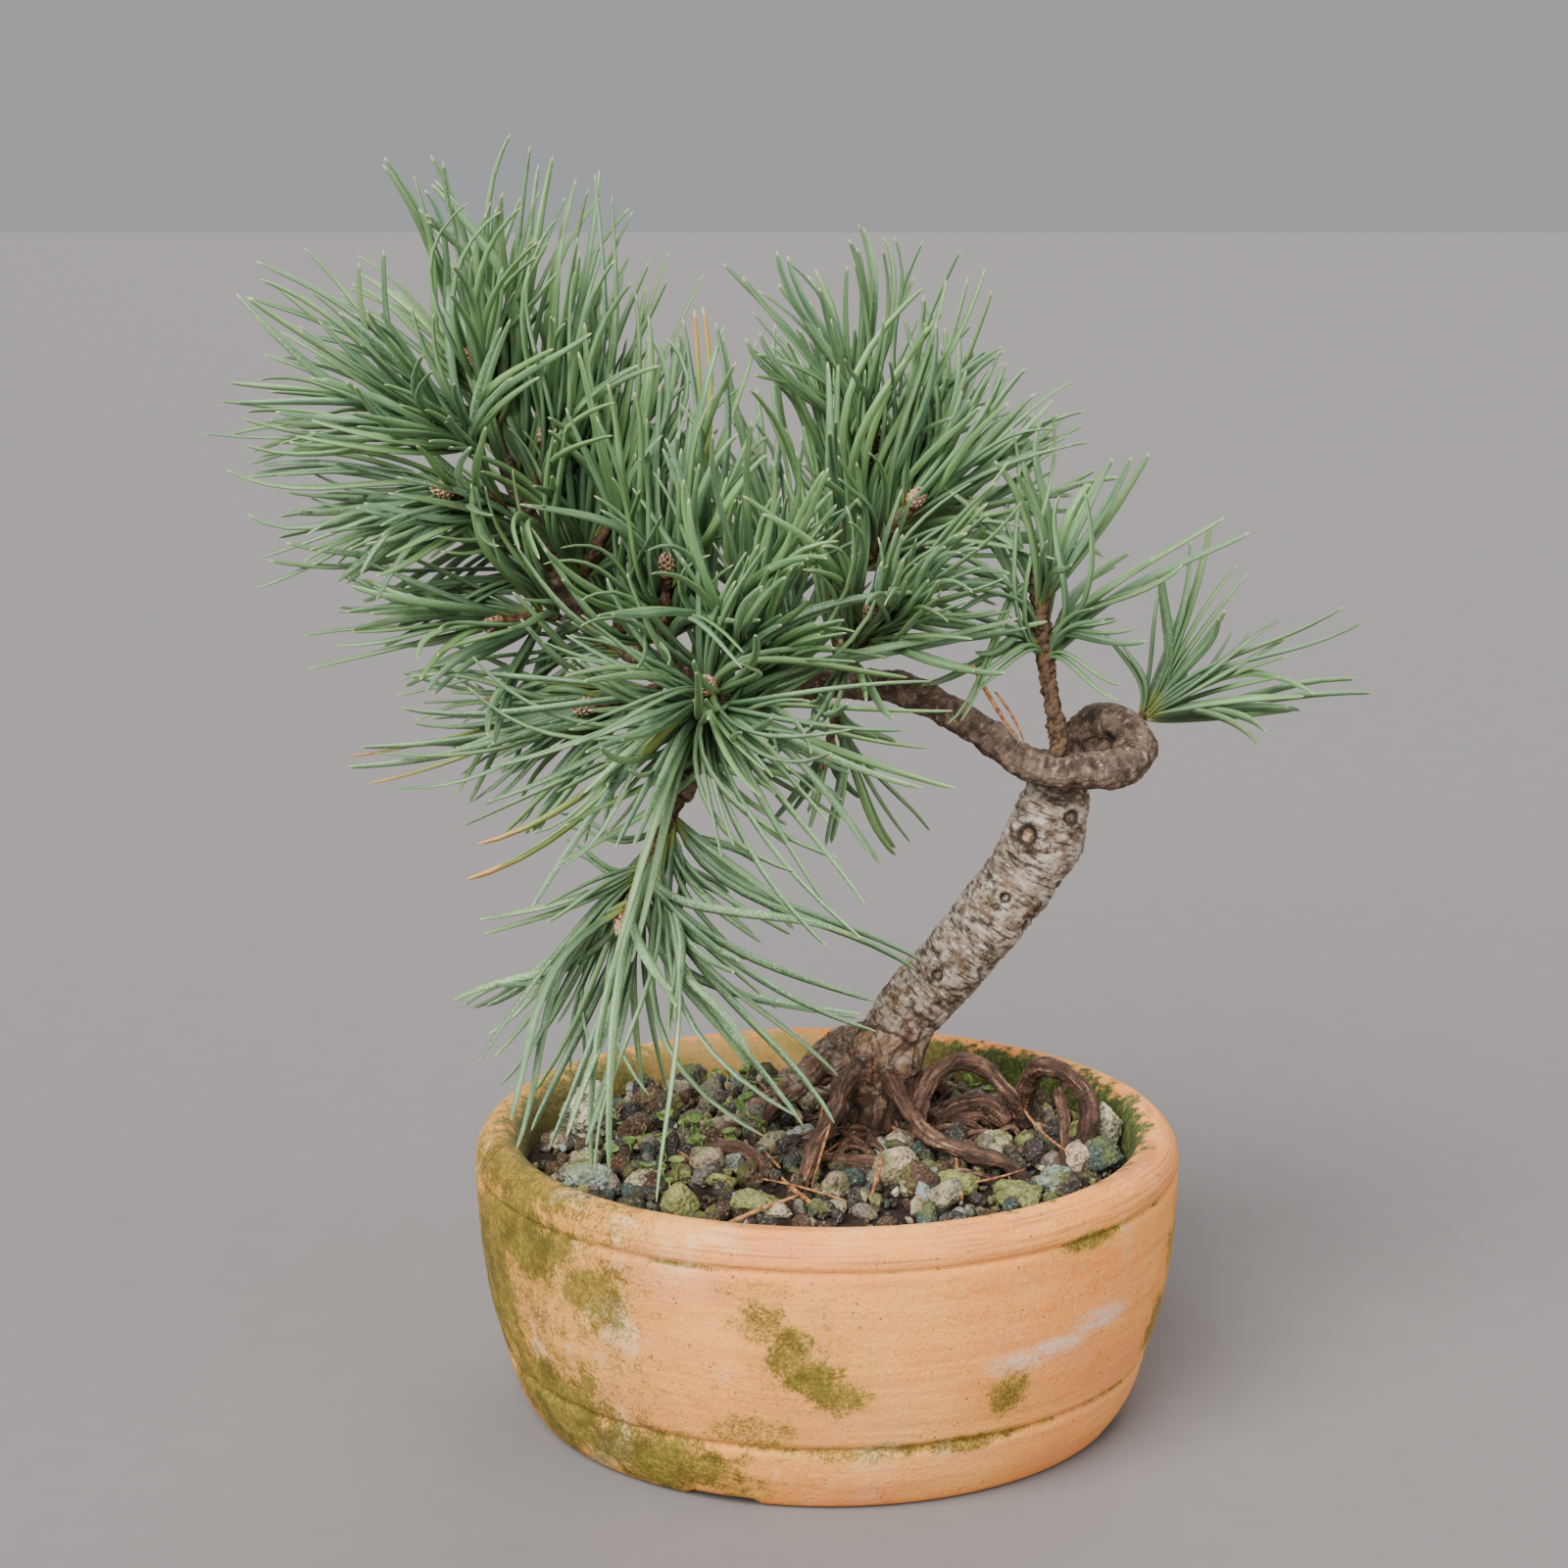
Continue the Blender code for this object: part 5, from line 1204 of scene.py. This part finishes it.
# ------------------------------------------------------------------ shoots
class Needles:
    """Collects needles into one mesh."""

    def __init__(self):
        self.points, self.faces, self.marks, self.fibres = [], [], [], []

    def add(self, start, first, second, end, width, flat_side, tone, frost):
        """One half-round needle along a cubic curve; flat_side is where its flat face looks."""
        seed = random.random()
        shares = [*np.linspace(0, ROUNDED_FROM, NEEDLE_STEPS - 1), 0.975, 1.0]
        length = (end - start).length
        base = len(self.points)
        for share in shares:
            rest = 1 - share
            centre = (start * rest ** 3 + first * (3 * rest ** 2 * share)
                      + second * (3 * rest * share ** 2) + end * share ** 3)
            tangent = ((first - start) * rest ** 2 + (second - first) * (2 * rest * share)
                       + (end - second) * share ** 2).normalized()
            across = tangent.cross(flat_side).normalized()
            up = across.cross(tangent)
            half = width / 2 * needle_width(share)
            for step in range(NEEDLE_SIDES):
                angle = 2 * math.pi * step / NEEDLE_SIDES + math.pi / 6
                high = math.sin(angle)
                lift = high * (NEEDLE_BACK if high > 0 else NEEDLE_BELLY)
                self.points.append(centre + across * (math.cos(angle) * half) + up * (lift * half))
                # how much of the painted highlight each side of the needle gets
                edge = abs(math.cos(angle)) ** 3
                self.marks.append((share, tone, frost if high < 0.2 else frost * 0.55, edge))
                self.fibres.append((step / NEEDLE_SIDES, share * length, seed))
        starts = range(base, len(self.points), NEEDLE_SIDES)
        self.faces.extend(ring_faces(starts, NEEDLE_SIDES) + end_caps(starts, NEEDLE_SIDES))

    def piece(self, name, surface, slot, stands_for):
        new_piece(name, self.points, self.faces, surface, stands_for,
                  {"needle": ("FLOAT_COLOR", self.marks), "fibre": ("FLOAT_VECTOR", self.fibres)})


def needle_width(share):
    """Width along a needle, as a share of its greatest."""
    base = 0.62 + 0.38 * smoothstep(0.0, 0.14, share)
    taper = 1 - 0.42 * smoothstep(0.55, 1.0, share)
    rounding = math.sqrt(max(0.02, 1 - max(0.0, (share - ROUNDED_FROM) / 0.072) ** 2))
    return base * taper * rounding


def make_needles(name, stem, tips, surface):
    """A shoot's needles in pairs: the ones of its outline, and more between them."""
    path = smooth_path(stem, 1.0)
    frames = ring_frames(path)
    bare = int(BARE_SHARE.get(name, 0) * len(path))
    path, frames = path[bare:], frames[bare:]
    old_wood = smooth_path(OLD_WOOD[name], 1.0) if name in OLD_WOOD else None
    needles = Needles()
    frost_level = FROST.get(name, FROST_USUAL)
    for tip in tips:
        centre, tangent, radius = natural_start(frames, path, Vector(tip))
        tone = YELLOWED if tip in YELLOW_TIPS else None
        add_pair(needles, centre, tangent, radius, Vector(tip), frost_level, tone)
    for _ in range(FILL_PAIRS.get(name, FILL_USUAL)):
        near, other = random.sample(tips, 2)
        goal = Vector(near).lerp(Vector(other), random.uniform(0.0, 0.5))
        goal += random_unit() * random.uniform(*FILL_SCATTER)
        if old_wood is not None and random.random() < OLD_WOOD_SHARE:
            row = random.choice(list(old_wood))
            centre, radius = Vector(row[:3]), row[3]
            tangent = (Vector(old_wood[-1][:3]) - Vector(old_wood[0][:3])).normalized()
        else:
            centre, tangent, radius = natural_start(frames, path, goal)
        reach = goal - centre
        reach *= random.uniform(*FILL_REACH) * min(1.0, LONGEST_NEEDLE / reach.length)
        reach *= max(1.0, SHORTEST_NEEDLE / reach.length)
        add_pair(needles, centre, tangent, radius, centre + reach, frost_level)
    if name not in NO_SKIRT:
        add_skirt(needles, frames, path, frost_level)
    needles.piece(name + "_needles", surface, "needles", [name])


def add_skirt(needles, frames, path, frost_level):
    """Needles round the lower stem, which hide it."""
    for _ in range(SKIRT_PAIRS):
        index = random.randrange(max(1, len(path) // 2))
        centre, side, up, tangent = frames[index]
        angle = random.uniform(0, 2 * math.pi)
        outward = side * math.cos(angle) + up * math.sin(angle)
        heading = (tangent * random.uniform(0.5, 1.0) + outward * 0.75).normalized()
        goal = centre + heading * random.uniform(*SKIRT_LENGTHS)
        add_pair(needles, centre, tangent, path[index][3], goal, frost_level)


def add_pair(needles, centre, tangent, radius, goal, frost_level, tone=None):
    """Two needles from one sheath that leave along the stem and arch out to a goal."""
    reach = goal - centre
    length = reach.length
    ahead = reach.normalized()
    outward = reach - tangent * reach.dot(tangent) + random_unit() * 3.0
    outward.normalize()
    lean = (tangent * random.uniform(0.5, 1.1) + outward * 0.5 + random_unit() * 0.18).normalized()
    spread = reach.cross(random_unit()).normalized()
    arch = ahead.cross(random_unit()).normalized() * random.gauss(0, ARCH) * length
    twist = -1 if random.random() < S_BEND_SHARE else 1
    if tone is None:
        tone = YELLOWED if random.random() < YELLOW_SHARE else random.uniform(0.0, 1.0)
    for hand in (-1, 1):
        start = centre + outward * radius * 0.6 + spread * (0.4 * hand)
        end = goal + spread * (hand * length * PAIR_SPREAD * random.uniform(0.2, 1.3))
        end -= ahead * random.uniform(0.0, 3.5) * (hand > 0)
        stay_over_bowl(end)
        own = random_unit() * length * 0.03
        first = start + lean * length * 0.36 + arch + own
        arrival = (ahead + outward * random.uniform(-0.1, 0.8)).normalized()
        second = end - arrival * length * 0.34 + arch * twist - own
        frost = max(0.0, random.gauss(frost_level, 0.25))
        needles.add(start, first, second, end, NEEDLE_WIDTH * random.uniform(0.85, 1.1),
                    -spread * hand, tone, min(1.0, frost))


def natural_start(frames, path, goal):
    """Where on the stem a needle to a goal would leave it: back from it, at a natural angle."""
    best, score = None, 1e9
    for (centre, _, _, tangent), row in zip(frames[1:], path[1:]):
        lean = (goal - centre).normalized().dot(tangent)
        cost = abs(lean - NATURAL_LEAN) + random.uniform(0, 1.3)
        if cost < score:
            best, score = (centre, tangent, row[3]), cost
    return best


def stay_over_bowl(point):
    """Keep a needle's end out of the bowl and the soil."""
    if math.hypot(point.x, point.y) < BOWL_REACH and point.z < LOWEST_OVER_BOWL:
        point.z = LOWEST_OVER_BOWL


def make_stem(name, stem, surface):
    """A shoot's stem with needle bases on it, and a bud of overlapping scales on its end."""
    path = smooth_path(stem, 0.5)
    if name != STOUT_STEM:
        path[:, 3] *= STEM_THINNING
    points, faces = tube_mesh(path, STEM_SIDES)
    frames = ring_frames(path)
    marks = []
    for index, spot in enumerate(points):
        centre = frames[index // STEM_SIDES][0]
        distances, _ = noise.voronoi(spot * SCALE_DENSITY)
        plate = smoothstep(0.0, 0.35, distances[1] - distances[0])
        lump = noise.noise(spot * 0.5)
        points[index] = spot + (spot - centre).normalized() * (0.5 * plate + 0.5 * lump - 0.2)
        marks.append((1 - plate, 0.0, 0.5 + lump, 1.0))
    centre, _, _, tangent = frames[-1]
    add_bud(points, faces, marks, centre, tangent, stem[-1][3] * BUD_WIDTH)
    new_piece(name + "_stem", points, faces, surface, (), {"scale": ("FLOAT_COLOR", marks)})


def add_bud(points, faces, marks, base, axis, width):
    """A pointed bud of papery scales in rows, around a solid core."""
    side = axis.orthogonal().normalized()
    up = axis.cross(side)
    for row in range(BUD_ROWS):
        share = row / BUD_ROWS
        radius = width * math.sin(math.pi * (0.28 + 0.62 * share)) * 0.82
        for number in range(BUD_SCALES):
            angle = 2 * math.pi * (number + 0.5 * (row % 2)) / BUD_SCALES
            outward = side * math.cos(angle) + up * math.sin(angle)
            root = base + axis * (BUD_LENGTH * share * 0.8 - 0.4) + outward * radius * 0.75
            tip = root + axis * (BUD_LENGTH * 0.34) + outward * (0.28 * (1 - share))
            add_scale(points, faces, marks, root, tip, outward, axis.cross(outward) * radius * 0.62)
    start = len(points)
    for ring in range(BUD_CORE_RINGS):
        share = ring / (BUD_CORE_RINGS - 1)
        radius = width * 0.8 * math.sqrt(max(0.004, 1 - (share - 0.25) ** 2 / 0.57))
        spot = base + axis * (BUD_LENGTH * share - 0.4)
        for angle in turns(BUD_CORE_SIDES):
            points.append(spot + (side * math.cos(angle) + up * math.sin(angle)) * radius)
            marks.append((0.3, 1.0, 0.2, 1.0))
    starts = range(start, len(points), BUD_CORE_SIDES)
    faces.extend(ring_faces(starts, BUD_CORE_SIDES) + end_caps(starts, BUD_CORE_SIDES))


def add_scale(points, faces, marks, root, tip, outward, across):
    """One bud scale, thick in the middle, with its pale edge marked."""
    tone = random.random()
    middle = (root + tip) / 2 + outward * 0.42
    corners = [(root + across * 0.8, 0.2), (root - across * 0.8, 0.2), (middle + across * 0.9, 0.9),
               (middle, 0.0), (middle - across * 0.9, 0.9), (tip, 1.0), (root - outward * 0.9, 0.0),
               (middle - outward * 0.8, 0.0)]
    marks.extend([(edge, 1.0, tone, 1.0) for _, edge in corners])
    join(points, faces, [spot for spot, _ in corners], SCALE_FACES)


# ------------------------------------------------------------------ stage
def make_floor():
    """A wide pale floor that the bowl stands on."""
    bpy.ops.mesh.primitive_plane_add(size=FLOOR_SIZE, location=(AXIS.x, AXIS.y, BOWL_LOW.z))
    floor = bpy.context.object
    floor.name = "stage_floor"
    s = Shader("floor_pale", 0.9, specular=0.1)
    s.colour(s.mix(s.noise(0.01, detail=5), *FLOOR_TONES))
    floor.data.materials.append(s.material)


def make_light():
    """An overcast sky and broad soft light from the front left."""
    world = bpy.data.worlds.new("overcast")
    world.use_nodes = True
    sky = world.node_tree.nodes["Background"]
    sky.inputs["Color"].default_value = (*srgb(*SKY_TONE), 1.0)
    sky.inputs["Strength"].default_value = SKY_STRENGTH
    bpy.context.scene.world = world
    for name, spot, strength in SUNS:
        data = bpy.data.lights.new(name, "SUN")
        data.energy = strength
        data.angle = SUN_SOFTNESS
        lamp = bpy.data.objects.new(name, data)
        lamp.rotation_euler = (-Vector(spot)).to_track_quat("-Z", "Y").to_euler()
        bpy.context.collection.objects.link(lamp)


def make_camera():
    data = bpy.data.cameras.new("camera")
    data.lens = CAMERA_LENS
    data.sensor_width = 36.0
    data.clip_start = 0.01
    camera = bpy.data.objects.new("camera", data)
    camera.location = place(*CAMERA_PLACE)
    camera.rotation_euler = (math.pi / 2 - CAMERA_DOWN, 0, 0)
    bpy.context.collection.objects.link(camera)
    bpy.context.scene.camera = camera


def main():
    random.seed(SEED)
    make_camera()
    make_light()
    make_floor()
    make_bowl()
    make_soil()
    stones = stone_material()
    make_stones(stones)
    for name, count, smallest, largest, looks, subdivisions in LOOSE_ROCKS:
        make_grit(name, stones, count, smallest, largest, looks, subdivisions)
    make_leaflets(flat_leaf_material("leaflet_green", (74, 104, 46), (138, 156, 76)))
    make_litter()
    make_wood()
    green = needle_material()
    twig = twig_material()
    for name, (stem, tips) in SHOOTS.items():
        make_needles(name, stem, tips, green)
        make_stem(name, stem, twig)
    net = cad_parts["drain_mesh"]
    net.data.materials.clear()
    net.data.materials.append(net_material())


main()
